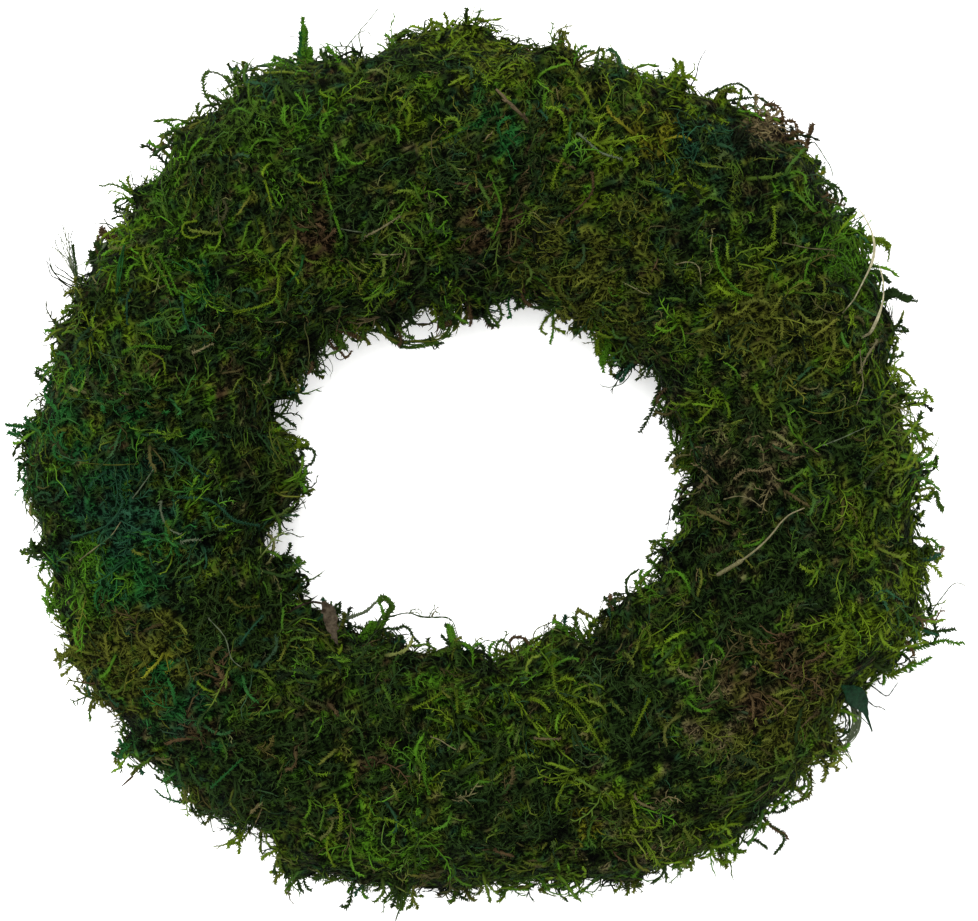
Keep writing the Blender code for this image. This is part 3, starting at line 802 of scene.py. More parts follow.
def whole_bed():
    """The bed of all the bunches, softened and roughened, with how thickly the moss grows on each point."""
    forms = bmesh.new()
    for number, node in enumerate(BUNCHES):
        forms.from_mesh(lapped(node, number * BUNCH_TURN))
    bed = object_of("whole_bed", mesh_of(forms, "whole_bed"))
    remesh = bed.modifiers.new("even", "REMESH")
    remesh.mode = "VOXEL"
    remesh.voxel_size = BED_CELL
    smooth = bed.modifiers.new("soft", "SMOOTH")
    smooth.iterations = BED_SMOOTHING
    mesh = baked(bed)
    normals = np.empty(len(mesh.vertices) * 3)
    mesh.vertices.foreach_get("normal", normals)
    points = points_of(mesh)
    facing = (normals.reshape(-1, 3) * away_from_ring(points)).sum(axis=1)
    rough = drift(points, BED_ROUGH_LENGTH)
    turn, section, reach = round_the_section(points)
    outside = facing > 0
    reach[outside] = trimmed(turn[outside], section[outside], reach[outside])
    reach += np.clip(facing, 0, 1) * (swell(turn, section) + rough * BED_ROUGHNESS)
    points = from_round(turn, section, reach)
    points[:, 2] = np.maximum(points[:, 2], LOWEST_MOSS)
    put_points(mesh, points)
    growth = np.clip((facing + 0.15) / 0.35, 0, 1)
    growth *= np.clip((points[:, 2] - BARE_HEIGHT) / BARE_FADE, 0, 1)
    growth *= np.clip(0.8 + rough, 0.25, 1.0)
    lush = np.clip(0.5 + 1.2 * drift(points, LUSH_LENGTH), 0.15, 1.0)
    for name, values in (("feathery", growth * lush), ("stringy", growth * (1.15 - lush))):
        marked(mesh, name, values)
    growing(mesh)
    return mesh


def growing(mesh):
    """Marks the faces that a mesh has now as those that shapes grow on."""
    grows = mesh.attributes.new("grows", "BOOLEAN", "FACE")
    grows.data.foreach_set("value", np.ones(len(mesh.polygons), bool))


def bed_of(number, whole):
    """One bunch's share of the bed, closed where it is cut from its neighbours' shares."""
    shape = bmesh.new()
    shape.from_mesh(whole)
    for hand in HANDS:
        turn = (number + hand / 2) * BUNCH_TURN
        bmesh.ops.bisect_plane(
            shape, geom=[*shape.verts, *shape.edges, *shape.faces], clear_outer=True,
            plane_co=CENTRE, plane_no=Vector((-math.sin(turn), math.cos(turn), 0.0)) * hand,
        )
    bmesh.ops.holes_fill(shape, edges=[edge for edge in shape.edges if edge.is_boundary], sides=0)
    return object_of("bed", mesh_of(shape, "bed"))


def clumped(roots, offset, stray):
    """A number from 0 to 1 for each root, spread evenly. Roots of one clump get nearly the same."""
    shift = Vector((offset, 0.0, 0.0))
    level = 0.45 * drift(roots, CLUMP_LENGTH, shift) + drift(roots, SMALL_CLUMP_LENGTH, -shift)
    return np.clip(0.5 + 0.5 * np.tanh(2.6 * (level + stray)), 0, 0.999)


def neighbours_hue(roots, tones):
    """The mean hue of the fronds near each one, as bright as the frond itself."""
    cells = np.unique(np.floor(roots / HUE_CELL), axis=0, return_inverse=True)[1].reshape(-1)
    sums = np.column_stack([np.bincount(cells, tones[:, k]) for k in range(3)])[cells]
    return sums * (tones.sum(axis=1) / sums.sum(axis=1))[:, None]


def tones_at(roots, lively, seed):
    """A tone for each root, drawn in clumps from the mix and then from the patches, with painted light
    towards the outer rim.
    """
    draw = np.random.default_rng(seed)
    shares = np.cumsum([share for _, share in MIX])
    pick = clumped(roots, 0.0, draw.normal(0.0, TONE_STRAY, len(roots)) + LIVELIER * lively) * shares[-1]
    tones = np.array([TONES[tone] for tone, _ in MIX])[np.searchsorted(shares, pick)]
    for number, (turn, radius, reach, tone, share) in enumerate(PATCHES):
        middle = np.array((CENTRE.x + radius * math.cos(math.radians(turn)),
                           CENTRE.y + radius * math.sin(math.radians(turn))))
        near = np.clip(1.35 - np.linalg.norm(roots[:, :2] - middle, axis=1) / reach, 0, 1)
        inside = np.flatnonzero(near)
        eager = (0.30 if tone in LIVELY_TONES else -0.10) * (lively[inside] - 0.3)
        level = clumped(roots[inside], 7.3 + number, draw.normal(0.0, TONE_STRAY, len(inside)))
        taken = level < (share + eager) * near[inside]
        tones[inside[taken]] = TONES[tone]
    tones = tones * (1 - HUE_SHARED) + HUE_SHARED * neighbours_hue(roots, tones)
    tint = draw.uniform(0.80, 1.12, (len(roots), 1)) * draw.uniform(0.96, 1.04, (len(roots), 3))
    # Painted light: tones grow lighter towards the outer rim.
    out = np.hypot(roots[:, 0] - CENTRE.x, roots[:, 1] - CENTRE.y)
    paler = 1 + PAINTED_RIM_LIGHT * np.clip((out - RIM_RADIUS) / RIM_WIDTH, 0, 1)
    return tones * tint * paler[:, None]


def roots_of(mesh):
    """The root that each point of a grown mesh belongs to. A point of the bed is its own root."""
    roots = np.empty(len(mesh.vertices) * 3)
    mesh.attributes["root"].data.foreach_get("vector", roots)
    roots = roots.reshape(-1, 3)
    of_bed = ~roots.any(axis=1)
    roots[of_bed] = points_of(mesh)[of_bed]
    mesh.attributes.remove(mesh.attributes["root"])
    return roots


def marked(mesh, name, values):
    """Puts a number or a colour on each point of a mesh."""
    if values.ndim == 1:
        mesh.attributes.new(name, "FLOAT", "POINT").data.foreach_set("value", values)
    else:
        colours = np.column_stack((values, np.ones(len(values))))
        mesh.attributes.new(name, "FLOAT_COLOR", "POINT").data.foreach_set("color", colours.ravel())


def toned(mesh, seed):
    """Gives each frond of a mesh its tone, and each point its height over the root."""
    roots = roots_of(mesh)
    points = points_of(mesh)
    lively = np.empty(len(points))
    mesh.attributes["lively"].data.foreach_get("value", lively)
    mesh.attributes.remove(mesh.attributes["lively"])
    unique, first, which = np.unique(np.round(roots, 7), axis=0, return_index=True, return_inverse=True)
    marked(mesh, "tone", tones_at(unique, lively[first], seed)[which.reshape(-1)])
    # The height over the root sets the moss material's painted shade deep in the mat and its painted
    # highlight at the tips.
    lift = round_the_section(points)[2] - round_the_section(roots)[2]
    marked(mesh, "height", np.clip(lift / FROND_LIFT, 0, 1))
    points[:, 2] = np.maximum(points[:, 2], LOWEST_MOSS)
    put_points(mesh, points)


def shape_collections(makers):
    """A collection of shapes to pick from for each kind, made one by one."""
    shapes = {}
    for kind, maker in makers.items():
        shapes[kind] = collection(kind + "_shapes")
        count, seed = SHAPE_DRAWS[kind]
        draw = random.Random(seed)
        for number in range(count):
            name = f"{kind.lower()}_{number}"
            object_of(name, maker(draw).mesh(name), shapes[kind])
    return shapes


def cleared(shapes):
    for kind in shapes.values():
        for shape in list(kind.objects):
            removed(shape)
        bpy.data.collections.remove(kind)


def moss_bunches(moss, whole):
    """Fine moss over each bunch's share of the bed."""
    shapes = shape_collections({"Plume": plume, "Sprig": sprig, "Strand": strand, "Wisp": wisp})
    growth = Growth("moss_growth")
    layers = []
    for thickness, kinds, tilt, seed in (
        ("feathery", FEATHERY, TILT, 0),
        ("stringy", STRINGY, STRINGY_TILT, 50),
    ):
        for k, kind in enumerate(kinds):
            layers.append(growth.layer(kind, thickness, growth.swirling, tilt, seed + 10 * k))
    growth.finish(layers)
    settings = {"Material": moss, "Bed Material": bed_material(), "Swirl": SWIRL, "Stray": WAY_STRAY}
    for number, node in enumerate(BUNCHES):
        settings["Seed"] = SEED + number
        mesh = growth.grown(bed_of(number, whole), shapes, settings, FEATHERY | STRINGY)
        toned(mesh, SEED + number)
        in_place_of(node, object_of(node.replace("bunch", "fronds"), mesh))
    cleared(shapes)


# Stray fronds that stand clear of the moss: look, tone, and the photo's pixels from root to tip.
STRAYS = (
    # the net over the hole, upper left
    ("skein", "fern", (383, 332), (392, 339), (400, 344), (410, 346), (420, 346), (432, 343), (442, 339),
     (452, 333)),
    ("skein", "olive", (384, 333), (393, 339), (401, 342), (411, 343), (421, 342), (432, 339), (442, 335),
     (450, 330)),
    ("feather", "fern", (386, 336), (396, 343), (406, 347), (418, 347), (430, 345), (440, 342)),
    ("feather", "deep", (390, 334), (400, 340), (410, 342), (422, 341), (434, 337)),
    ("skein", "olive", (457, 300), (461, 312), (459, 324), (453, 334)),
    ("skein", "fern", (451, 298), (454, 312), (453, 325), (447, 337)),
    ("skein", "deep", (444, 298), (447, 312), (446, 325), (441, 336)),
    ("skein", "brown", (438, 300), (440, 314), (439, 326), (436, 336)),
    ("feather", "fern", (448, 300), (450, 314), (449, 328), (443, 338)),
    ("tuft", "deep", (457, 300), (458, 312), (455, 325)),
    ("tuft", "brown", (450, 300), (451, 314), (448, 328)),
    ("tuft", "fern", (442, 302), (443, 316), (442, 329)),
    ("feather", "olive", (456, 302), (458, 316), (454, 328)),
    ("tuft", "fern", (386, 318), (389, 324), (390, 330), (391, 337)),
    ("feather", "deep", (389, 330), (388, 322), (386, 314), (384, 306)),
    ("feather", "deep", (436, 346), (439, 343), (444, 343)),
    ("thread", "deep", (384, 302), (385, 315), (383, 322), (384, 333)),
    ("thread", "deep", (400, 298), (405, 312), (411, 318), (418, 315), (423, 308)),
    ("thread", "deep", (424, 302), (426, 312), (430, 320), (433, 326), (427, 332)),
    ("thread", "black", (401, 342), (401, 333), (400, 325), (405, 319)),
    ("thread", "black", (434, 349), (438, 346), (443, 343)),
    ("thread", "deep", (355, 330), (362, 334), (372, 331), (380, 333), (384, 334)),
    ("stem", "fern", (363, 337), (363, 331), (366, 322), (371, 320), (373, 327), (368, 333)),
    ("stem", "olive", (352, 312), (358, 322), (366, 316), (374, 304)),
    ("rope", "brown", (332, 322), (337, 327), (350, 334), (361, 337)),
    ("tuft", "brown", (326, 322), (332, 328), (340, 331)),
    ("tuft", "fern", (334, 334), (340, 342), (346, 348)),
    ("feather", "brown", (326, 334), (332, 346), (340, 351), (346, 358), (352, 350)),
    ("thread", "black", (334, 350), (336, 357), (341, 360), (347, 356)),
    ("feather", "brown", (468, 300), (469, 309), (471, 318), (470, 327)),
    ("feather", "brown", (466, 300), (470, 310), (469, 320)),
    # the hole's top and right
    ("feather", "fern", (487, 305), (490, 316), (496, 322), (499, 328)),
    ("feather", "fern", (493, 300), (500, 308), (501, 318), (496, 325)),
    ("feather", "emerald", (508, 305), (511, 316), (507, 318)),
    ("feather", "bright", (553, 305), (553, 318), (553, 332), (550, 345)),
    ("feather", "lime", (553, 312), (545, 320), (541, 330), (547, 335)),
    ("feather", "lime", (553, 326), (561, 331), (565, 333)),
    ("feather", "fern", (563, 310), (571, 318), (574, 314)),
    ("spray", "bright", (592, 330), (598, 345), (602, 360), (604, 374)),
    ("tuft", "bright", (612, 340), (606, 352), (603, 364)),
    ("tuft", "lime", (603, 332), (599, 343), (600, 354)),
    ("tuft", "fern", (622, 346), (615, 356), (610, 363)),
    ("spray", "lime", (600, 335), (605, 350), (606, 365)),
    ("thread", "black", (630, 362), (636, 370), (644, 376), (650, 378)),
    ("spray", "deep", (660, 385), (658, 395), (655, 405), (650, 415), (645, 425), (639, 434)),
    # the hole's left
    ("feather", "deep", (286, 446), (296, 447), (304, 448), (312, 449), (315, 455), (312, 463), (304, 467)),
    ("feather", "olive", (290, 455), (297, 462), (304, 466)),
    ("feather", "deep", (287, 468), (296, 474), (302, 480), (305, 490), (302, 498)),
    ("thread", "grey", (290, 490), (297, 496), (303, 502), (306, 510)),
    ("thread", "grey", (288, 533), (295, 535), (300, 537), (305, 536)),
    ("feather", "deep", (288, 563), (294, 568), (288, 574), (287, 582)),
    ("bud", "black", (301, 602), (300, 593), (295, 587), (294, 579), (299, 575), (306, 577), (308, 584),
     (303, 588),
     (299, 583), (302, 579)),
    # the hole's bottom
    ("feather", "grey", (345, 619), (356, 615), (366, 611), (374, 604), (381, 598)),
    ("thread", "deep", (346, 621), (357, 616), (367, 612), (375, 604)),
    ("frond", "bright", (376, 636), (380, 628), (385, 620), (388, 612)),
    ("feather", "bright", (386, 616), (392, 611), (393, 606)),
    ("rope", "fern", (384, 620), (388, 612), (393, 608), (390, 602), (384, 598), (379, 600)),
    ("tuft", "bright", (366, 634), (371, 628), (374, 622)),
    ("feather", "bright", (380, 628), (384, 618), (382, 608), (378, 600), (384, 596), (391, 601)),
    ("stem", "deep", (342, 624), (345, 616), (353, 610)),
    ("thread", "deep", (384, 614), (391, 616), (400, 614), (410, 613), (420, 616), (432, 617), (446, 617),
     (453, 622),
     (457, 634), (461, 648), (467, 660)),
    ("thread", "grey", (384, 615), (391, 617), (400, 614), (410, 613), (420, 617), (432, 618), (446, 618),
     (452, 622)),
    ("fuzz", "grey", (409, 614), (412, 610), (417, 609), (421, 611), (422, 616)),
    ("fuzz", "lichen", (409, 614), (414, 612), (418, 613), (421, 616)),
    ("fuzz", "grey", (429, 617), (432, 611), (435, 607), (434, 601)),
    ("fuzz", "hay", (432, 617), (434, 613), (437, 608), (441, 607)),
    ("fuzz", "lichen", (431, 617), (434, 612), (439, 613), (440, 617)),
    ("skein", "bright", (452, 664), (453, 650), (452, 640), (449, 629), (447, 621)),
    ("tuft", "bright", (455, 662), (454, 650), (452, 638), (449, 626)),
    ("tuft", "fern", (460, 662), (458, 652), (456, 642)),
    ("skein", "fern", (458, 664), (457, 650), (455, 638), (452, 626)),
    ("feather", "fern", (452, 662), (450, 650), (449, 640), (448, 632)),
    ("feather", "deep", (450, 660), (452, 646), (450, 634), (448, 626), (445, 624)),
    ("feather", "deep", (384, 629), (396, 629), (404, 626), (410, 630), (414, 638), (420, 644)),
    ("feather", "fern", (497, 660), (496, 648), (501, 640), (508, 644), (512, 652)),
    ("feather", "brown", (510, 640), (518, 637), (526, 640), (531, 648), (533, 654)),
    ("thread", "olive", (533, 640), (536, 630), (545, 625), (557, 621), (565, 626), (572, 632)),
    ("feather", "olive", (541, 650), (542, 642), (546, 634)),
    ("feather", "fern", (553, 646), (562, 644), (572, 648), (578, 654)),
    ("spray", "olive", (576, 650), (574, 640), (575, 625), (577, 610), (583, 612), (590, 618)),
    ("spray", "lime", (590, 655), (590, 640), (590, 625), (598, 618)),
    ("spray", "olive", (600, 660), (602, 640), (604, 625), (612, 608)),
    # grey lichen and dark threads at the left rim
    ("hair", "grey", (76, 277), (73, 262), (67, 250), (62, 240), (57, 232)),
    ("hair", "grey", (76, 277), (73, 258), (69, 244), (64, 232), (63, 222)),
    ("hair", "deep", (77, 277), (75, 262), (72, 248), (71, 236), (74, 229)),
    ("hair", "grey", (74, 275), (68, 260), (60, 252), (56, 244), (55, 238)),
    ("hair", "lichen", (72, 270), (64, 258), (57, 250), (50, 246)),
    ("hair", "lichen", (74, 270), (68, 250), (66, 238), (65, 226)),
    ("hair", "grey", (75, 273), (70, 254), (69, 241), (68, 230)),
    ("hair", "grey", (75, 276), (70, 262), (63, 248), (61, 236)),
    ("hair", "deep", (76, 277), (73, 264), (67, 256), (64, 250)),
    ("feather", "deep", (78, 280), (76, 266), (74, 254), (73, 244)),
    ("thread", "deep", (75, 276), (72, 264), (67, 256)),
    ("thread", "black", (66, 285), (58, 279), (52, 276), (49, 269), (47, 262)),
    ("thread", "black", (64, 282), (57, 276), (52, 270), (49, 264), (43, 259)),
    ("thread", "black", (72, 278), (65, 272), (58, 268), (54, 263)),
    ("thread", "deep", (70, 280), (60, 275), (54, 272), (50, 262), (49, 254)),
    ("tuft", "deep", (96, 262), (93, 256), (90, 252)),
    ("tuft", "deep", (104, 250), (100, 246), (96, 243)),
    ("tuft", "brown", (108, 238), (104, 233), (101, 228)),
    ("stem", "fern", (135, 196), (126, 190), (118, 186), (110, 184), (104, 186), (98, 185)),
    ("stem", "bright", (134, 194), (128, 188), (123, 183), (118, 180)),
    ("feather", "deep", (127, 210), (120, 209), (115, 206), (117, 215)),
    ("thread", "deep", (110, 228), (106, 222), (103, 217)),
    ("thread", "deep", (108, 224), (98, 224), (90, 224)),
    ("feather", "brown", (103, 231), (96, 245), (98, 252), (102, 256)),
    ("spray", "deep", (160, 158), (152, 150), (146, 146), (142, 148)),
    ("thread", "brown", (122, 786), (132, 776), (140, 768), (146, 764)),
    ("stem", "emerald", (184, 802), (172, 800), (162, 796), (154, 788)),
    # the top
    ("bottle", "bright", (303, 66), (303, 45), (303, 30), (303, 17)),
    ("tuft", "bright", (305, 68), (305, 54), (304, 40), (303, 26)),
    ("tuft", "emerald", (301, 68), (301, 56), (302, 44), (303, 34)),
    ("tuft", "bright", (308, 66), (309, 58), (308, 48)),
    ("stem", "grey", (224, 77), (213, 72), (204, 74), (201, 83)),
    ("thread", "grey", (361, 47), (359, 33), (366, 24), (374, 14), (382, 3)),
    ("thread", "grey", (346, 50), (353, 39), (359, 33), (367, 31), (372, 38)),
    ("spray", "fern", (206, 96), (203, 84), (205, 74), (210, 70)),
    ("spray", "fern", (236, 80), (234, 70), (238, 64)),
    # the upper right
    ("feather", "deep", (700, 100), (712, 92), (718, 90), (728, 85), (740, 84), (748, 90), (752, 95)),
    ("thread", "black", (696, 76), (698, 66), (701, 58), (707, 48)),
    ("feather", "lime", (733, 118), (738, 105), (741, 95), (741, 88)),
    ("feather", "deep", (722, 104), (732, 100), (746, 98), (760, 98), (768, 104), (775, 112)),
    ("spray", "tan", (755, 118), (755, 102), (756, 94)),
    ("spray", "brown", (748, 125), (756, 118), (766, 112), (776, 108)),
    ("spray", "brown", (752, 124), (764, 122), (776, 120), (784, 116)),
    ("spray", "brown", (764, 106), (774, 104), (782, 112), (784, 122), (792, 120), (798, 128), (796, 136)),
    ("rope", "brown", (806, 148), (810, 136), (812, 122)),
    ("feather", "gold", (810, 177), (818, 175), (826, 171)),
    ("thread", "deep", (812, 142), (818, 147), (825, 158), (831, 168), (834, 182)),
    # the right rim
    ("tuft", "deep", (893, 292), (904, 298), (912, 300)),
    ("feather", "deep", (896, 296), (906, 300), (919, 301)),
    ("tuft", "lime", (866, 238), (875, 241), (884, 243), (888, 250)),
    ("stem", "lime", (874, 242), (882, 241), (888, 248), (889, 256), (887, 263)),
    ("feather", "deep", (822, 196), (829, 188), (836, 192), (834, 204)),
    ("stem", "fern", (824, 204), (832, 206), (838, 202), (837, 194)),
    ("tuft", "deep", (838, 222), (847, 216), (853, 210)),
    ("spray", "fern", (914, 430), (918, 420), (920, 416), (922, 411)),
    ("spray", "lime", (912, 425), (920, 437), (925, 438), (929, 433)),
    ("spray", "lime", (918, 455), (926, 448), (932, 449), (930, 455)),
    ("spray", "bright", (925, 485), (927, 478), (927, 472)),
    ("rope", "fern", (926, 498), (932, 494), (936, 498), (939, 505), (944, 511)),
    ("spray", "bright", (933, 540), (938, 546), (943, 548)),
    ("spray", "lime", (926, 540), (934, 552), (938, 560), (936, 563)),
    # the sprays at the lower right
    ("spray", "deep", (895, 600), (901, 594), (911, 589), (921, 583)),
    ("spray", "bright", (885, 662), (905, 650), (915, 648), (925, 645), (935, 642), (945, 640),
     (955, 643), (965, 642)),
    ("spray", "fern", (893, 650), (900, 645), (912, 640), (922, 635), (932, 632)),
    ("spray", "deep", (934, 644), (936, 630), (932, 620), (928, 612), (927, 608)),
    ("thread", "grey", (934, 634), (932, 613), (937, 604), (943, 596), (950, 587), (956, 583), (962, 584),
     (966, 587)),
    ("spray", "deep", (936, 632), (943, 630), (949, 630), (956, 628)),
    ("spray", "bright", (890, 672), (905, 668), (915, 665), (925, 660), (932, 657)),
    ("spray", "lime", (890, 676), (898, 672), (908, 665), (916, 660)),
    ("spray", "deep", (884, 612), (893, 615), (903, 620), (912, 625), (922, 628)),
    ("spray", "deep", (884, 622), (893, 625), (905, 632), (915, 636)),
    ("thread", "black", (872, 686), (884, 695), (889, 695), (894, 688), (899, 681)),
    ("thread", "black", (862, 696), (874, 706), (880, 707), (887, 711)),
    ("skein", "grey", (856, 706), (859, 718), (857, 730), (852, 740), (844, 746), (834, 745)),
    ("skein", "grey", (850, 702), (855, 716), (853, 728), (846, 738), (838, 741)),
    ("skein", "deep", (846, 712), (848, 724), (843, 734), (836, 738)),
    ("skein", "grey", (852, 704), (857, 717), (856, 728), (851, 738), (845, 746), (836, 749)),
    ("thread", "deep", (852, 706), (858, 714), (864, 720), (870, 726)),
    ("skein", "black", (838, 742), (844, 750), (850, 751)),
    ("feather", "deep", (842, 730), (847, 733), (850, 728)),
    ("thread", "black", (838, 744), (832, 750), (840, 752), (845, 754)),
    # the lower right and the bottom
    ("spray", "olive", (802, 772), (810, 768), (811, 780), (811, 792), (804, 798), (798, 802), (790, 805)),
    ("feather", "deep", (783, 802), (787, 808), (780, 812), (770, 812)),
    ("feather", "brown", (762, 814), (767, 822), (773, 828), (780, 832), (785, 834), (788, 840)),
    ("feather", "deep", (768, 824), (779, 830), (784, 838), (782, 845), (778, 850), (774, 855)),
    ("feather", "deep", (745, 842), (755, 840), (762, 844), (768, 849)),
    ("spray", "deep", (352, 892), (350, 902), (346, 908), (340, 905)),
    ("spray", "fern", (325, 872), (318, 880), (312, 878)),
    ("spray", "fern", (40, 420), (30, 424), (20, 426), (12, 424)),
    ("spray", "deep", (44, 380), (38, 376), (36, 372), (42, 370)),
    ("spray", "fern", (38, 450), (26, 452), (18, 460)),
)
# Threads that lie on the face of the moss, told the same way.
FACE_THREADS = (
    ("thread", "hay", (80, 560), (98, 546), (111, 536), (120, 523)),
    ("thread", "grey", (133, 498), (139, 490), (149, 476), (154, 468)),
    ("stem", "teal", (172, 449), (186, 462), (207, 476)),
    ("thread", "olive", (83, 463), (111, 465), (136, 464)),
    ("frond", "teal", (179, 497), (205, 499), (221, 507), (235, 520), (257, 526)),
    ("stem", "teal", (73, 537), (106, 526), (122, 505), (120, 494)),
    ("stem", "grey", (161, 502), (161, 512), (168, 528), (182, 535)),
    ("stem", "grey", (181, 542), (190, 540), (200, 540)),
    ("stem", "teal", (240, 644), (250, 630), (262, 617)),
    ("thread", "grey", (209, 619), (225, 637), (231, 658), (241, 667)),
    ("stem", "olive", (229, 598), (240, 607), (258, 606)),
    ("frond", "bright", (150, 256), (162, 273), (172, 294)),
    ("frond", "bright", (158, 256), (168, 272), (177, 292)),
    ("skein", "emerald", (123, 248), (120, 270), (118, 292)),
    ("stem", "teal", (131, 290), (127, 300), (127, 323)),
    ("stem", "teal", (182, 297), (184, 315), (190, 332)),
    ("frond", "bright", (124, 353), (140, 346), (168, 348)),
    ("stem", "lime", (150, 353), (163, 360), (165, 374)),
    ("stem", "hay", (193, 353), (200, 350), (212, 344)),
    ("frond", "lime", (279, 276), (276, 297), (262, 306), (236, 312)),
    ("stem", "emerald", (303, 256), (300, 270), (288, 283)),
    ("stem", "lime", (196, 221), (184, 224), (183, 234), (192, 238), (200, 235)),
    ("stem", "lime", (265, 181), (269, 195), (272, 208)),
    ("frond", "bright", (323, 181), (328, 200), (337, 222), (341, 236)),
    ("stem", "lime", (299, 175), (307, 182), (320, 183)),
    ("stem", "hay", (363, 238), (380, 229), (399, 217)),
    ("frond", "lime", (378, 264), (369, 276), (360, 288)),
    ("thread", "grey", (341, 229), (352, 231), (366, 233)),
    ("thread", "hay", (374, 254), (388, 255), (401, 254)),
    ("stem", "bright", (490, 175), (501, 205), (499, 222), (493, 237)),
    ("frond", "lime", (552, 188), (556, 172), (562, 159)),
    ("stem", "grey", (579, 134), (600, 152), (621, 159)),
    ("frond", "brown", (592, 174), (591, 196), (564, 220)),
    ("thread", "hay", (677, 264), (690, 262), (699, 268), (701, 285)),
    ("frond", "bright", (715, 250), (720, 268), (736, 290), (752, 295)),
    ("frond", "lime", (773, 208), (775, 222), (773, 238)),
    ("thread", "hay", (785, 243), (808, 248), (832, 250)),
    ("thread", "hay", (431, 737), (440, 740), (449, 746), (457, 750)),
    ("stem", "tan", (535, 738), (548, 739), (560, 739)),
    ("frond", "lime", (552, 668), (558, 692), (576, 706), (590, 726), (601, 747)),
    ("frond", "lime", (530, 698), (541, 702), (549, 712)),
    ("frond", "lime", (415, 709), (428, 701), (440, 693)),
    ("frond", "lime", (455, 690), (457, 700), (456, 711)),
    ("frond", "bright", (424, 764), (425, 778), (429, 793)),
    ("frond", "lime", (648, 700), (640, 715), (633, 735)),
    ("frond", "lime", (340, 830), (341, 812), (335, 797)),
    ("stem", "lime", (334, 866), (327, 850), (328, 838)),
    ("stem", "emerald", (212, 787), (228, 772), (241, 760)),
    ("thread", "hay", (725, 499), (739, 496), (752, 500), (761, 507)),
    ("stem", "hay", (877, 341), (866, 358), (860, 372)),
    ("thread", "hay", (860, 351), (862, 374), (863, 387), (857, 404)),
    ("thread", "olive", (853, 406), (834, 412), (814, 413), (800, 407)),
    ("thread", "grey", (824, 445), (842, 438), (864, 428)),
    ("frond", "tan", (736, 478), (746, 471), (760, 472), (770, 468)),
    ("stem", "olive", (737, 552), (744, 558), (752, 567)),
)
# How each look is made: half width of the stem, side shoots in a metre of it, their length and half width.
# Fuzz sits on another stray, so it has no root in the moss.
STRAY_LOOKS = {
    "thread": (0.00034, 150, 0.0009, 0.00024),
    "stem": (0.00056, 900, 0.0020, 0.00040),
    "feather": (0.00046, 2000, 0.0023, 0.00044),
    "spray": (0.00056, 1300, 0.0030, 0.00044),
    "bottle": (0.00090, 3600, 0.0036, 0.00042),
    "bushy": (0.00044, 1600, 0.0027, 0.00052),
    "leafy": (0.00036, 1400, 0.0017, 0.00042),
    "hair": (0.00027, 440, 0.0026, 0.00021),
    "fuzz": (0.00027, 440, 0.0024, 0.00021),
    "bud": (0.00120, 0, 0.0, 0.0),
}
# Bundles of shoots that stray from one line: how many, the look of each, and how far they stray in pixels.
BUNDLES = {
    "tuft": (6, "bushy", 3.4),
    "rope": (3, "bushy", 2.0),
    "frond": (2, "leafy", 1.4),
    "skein": (5, "thread", 2.8),
}
DRY_TONES = ("brown", "tan", "hay", "grey", "lichen")
STRAY_HEIGHT = 0.034
STRAY_SWAY = 0.006
STRAY_DEPTH = 0.006
FACE_REACH = 0.005
FACE_LIFT = 0.0035
FACE_SUNK = 0.006
FACE_SHADE = 0.80
# Knobby shoots at the outer rim and round the hole: how many tufts, the shoots of each and their reach.
RIM_TUFTS = {1: 84, -1: 54}
RIM_SHOOTS = 3
RIM_REACH = 0.0034
RIM_BAND = 0.03


def seen_at(x, y, height):
    """The place at this height that the camera sees at a pixel of the photo."""
    size = METRES_PER_PIXEL * (EYE.z - height) / (EYE.z - SEEN_HEIGHT)
    return Vector((EYE.x + (x - PHOTO_WIDTH / 2) * size, EYE.y + (PHOTO_HEIGHT / 2 - y) * size, height))


def curve_through(points, steps=3):
    """A smooth line through given points."""
    ends = [2 * points[0] - points[1], *points, 2 * points[-1] - points[-2]]
    line = []
    for a, b, c, d in zip(ends, ends[1:], ends[2:], ends[3:]):
        for k in range(steps):
            t = k / steps
            line.append((2 * b + (c - a) * t + (2 * a - 5 * b + 4 * c - d) * t ** 2
                         + (3 * b - a - 3 * c + d) * t ** 3) / 2)
    line.append(points[-1])
    return line


class Surface:
    """The top of the bed, for what lies on it."""

    def __init__(self, mesh):
        self.points = points_of(mesh)

    def under(self, x, y):
        """The place that the camera sees at a pixel of the photo on the bed's top."""
        height = SEEN_HEIGHT
        for _ in range(2):
            off = self.points[:, :2] - np.array(seen_at(x, y, height)[:2])
            near = np.hypot(off[:, 0], off[:, 1]) < FACE_REACH
            height = float(self.points[near, 2].max()) if near.any() else height
        return seen_at(x, y, height + FACE_LIFT)

    def rim(self, turn, hand):
        """The bed's outermost place at this turn round the wreath, or its innermost one where hand is -1."""
        off = self.points - np.array(CENTRE)
        near = np.abs(wrapped(np.arctan2(off[:, 1], off[:, 0]) - turn)) < RIM_BAND
        reach = np.where(near, hand * np.hypot(off[:, 0], off[:, 1]), -1.0)
        return Vector(self.points[reach.argmax()])


def face_route(pixels, surface):
    """The line of a thread that lies on the moss, with both its ends sunk into it."""
    points = [surface.under(x, y) for x, y in pixels]
    points.insert(0, points[0] - UP * FACE_SUNK)
    points.append(points[-1] - UP * FACE_SUNK)
    return curve_through(points)


def stray_route(pixels, rooted):
    """A stray's line at heights that drift alike for neighbours. A rooted one is sunk into the moss."""
    points = []
    for x, y in pixels:
        drift = noise.noise(Vector((x, y, 0)) / 40)
        points.append(seen_at(x, y, STRAY_HEIGHT + STRAY_SWAY * drift))
    if rooted:
        out = points[0] - CENTRE
        middle = CENTRE + Vector((out.x, out.y, 0)).normalized() * RING_RADIUS + UP * SECTION_HEIGHT
        points.insert(0, points[0] + (middle - points[0]).normalized() * STRAY_DEPTH)
    return curve_through(points)


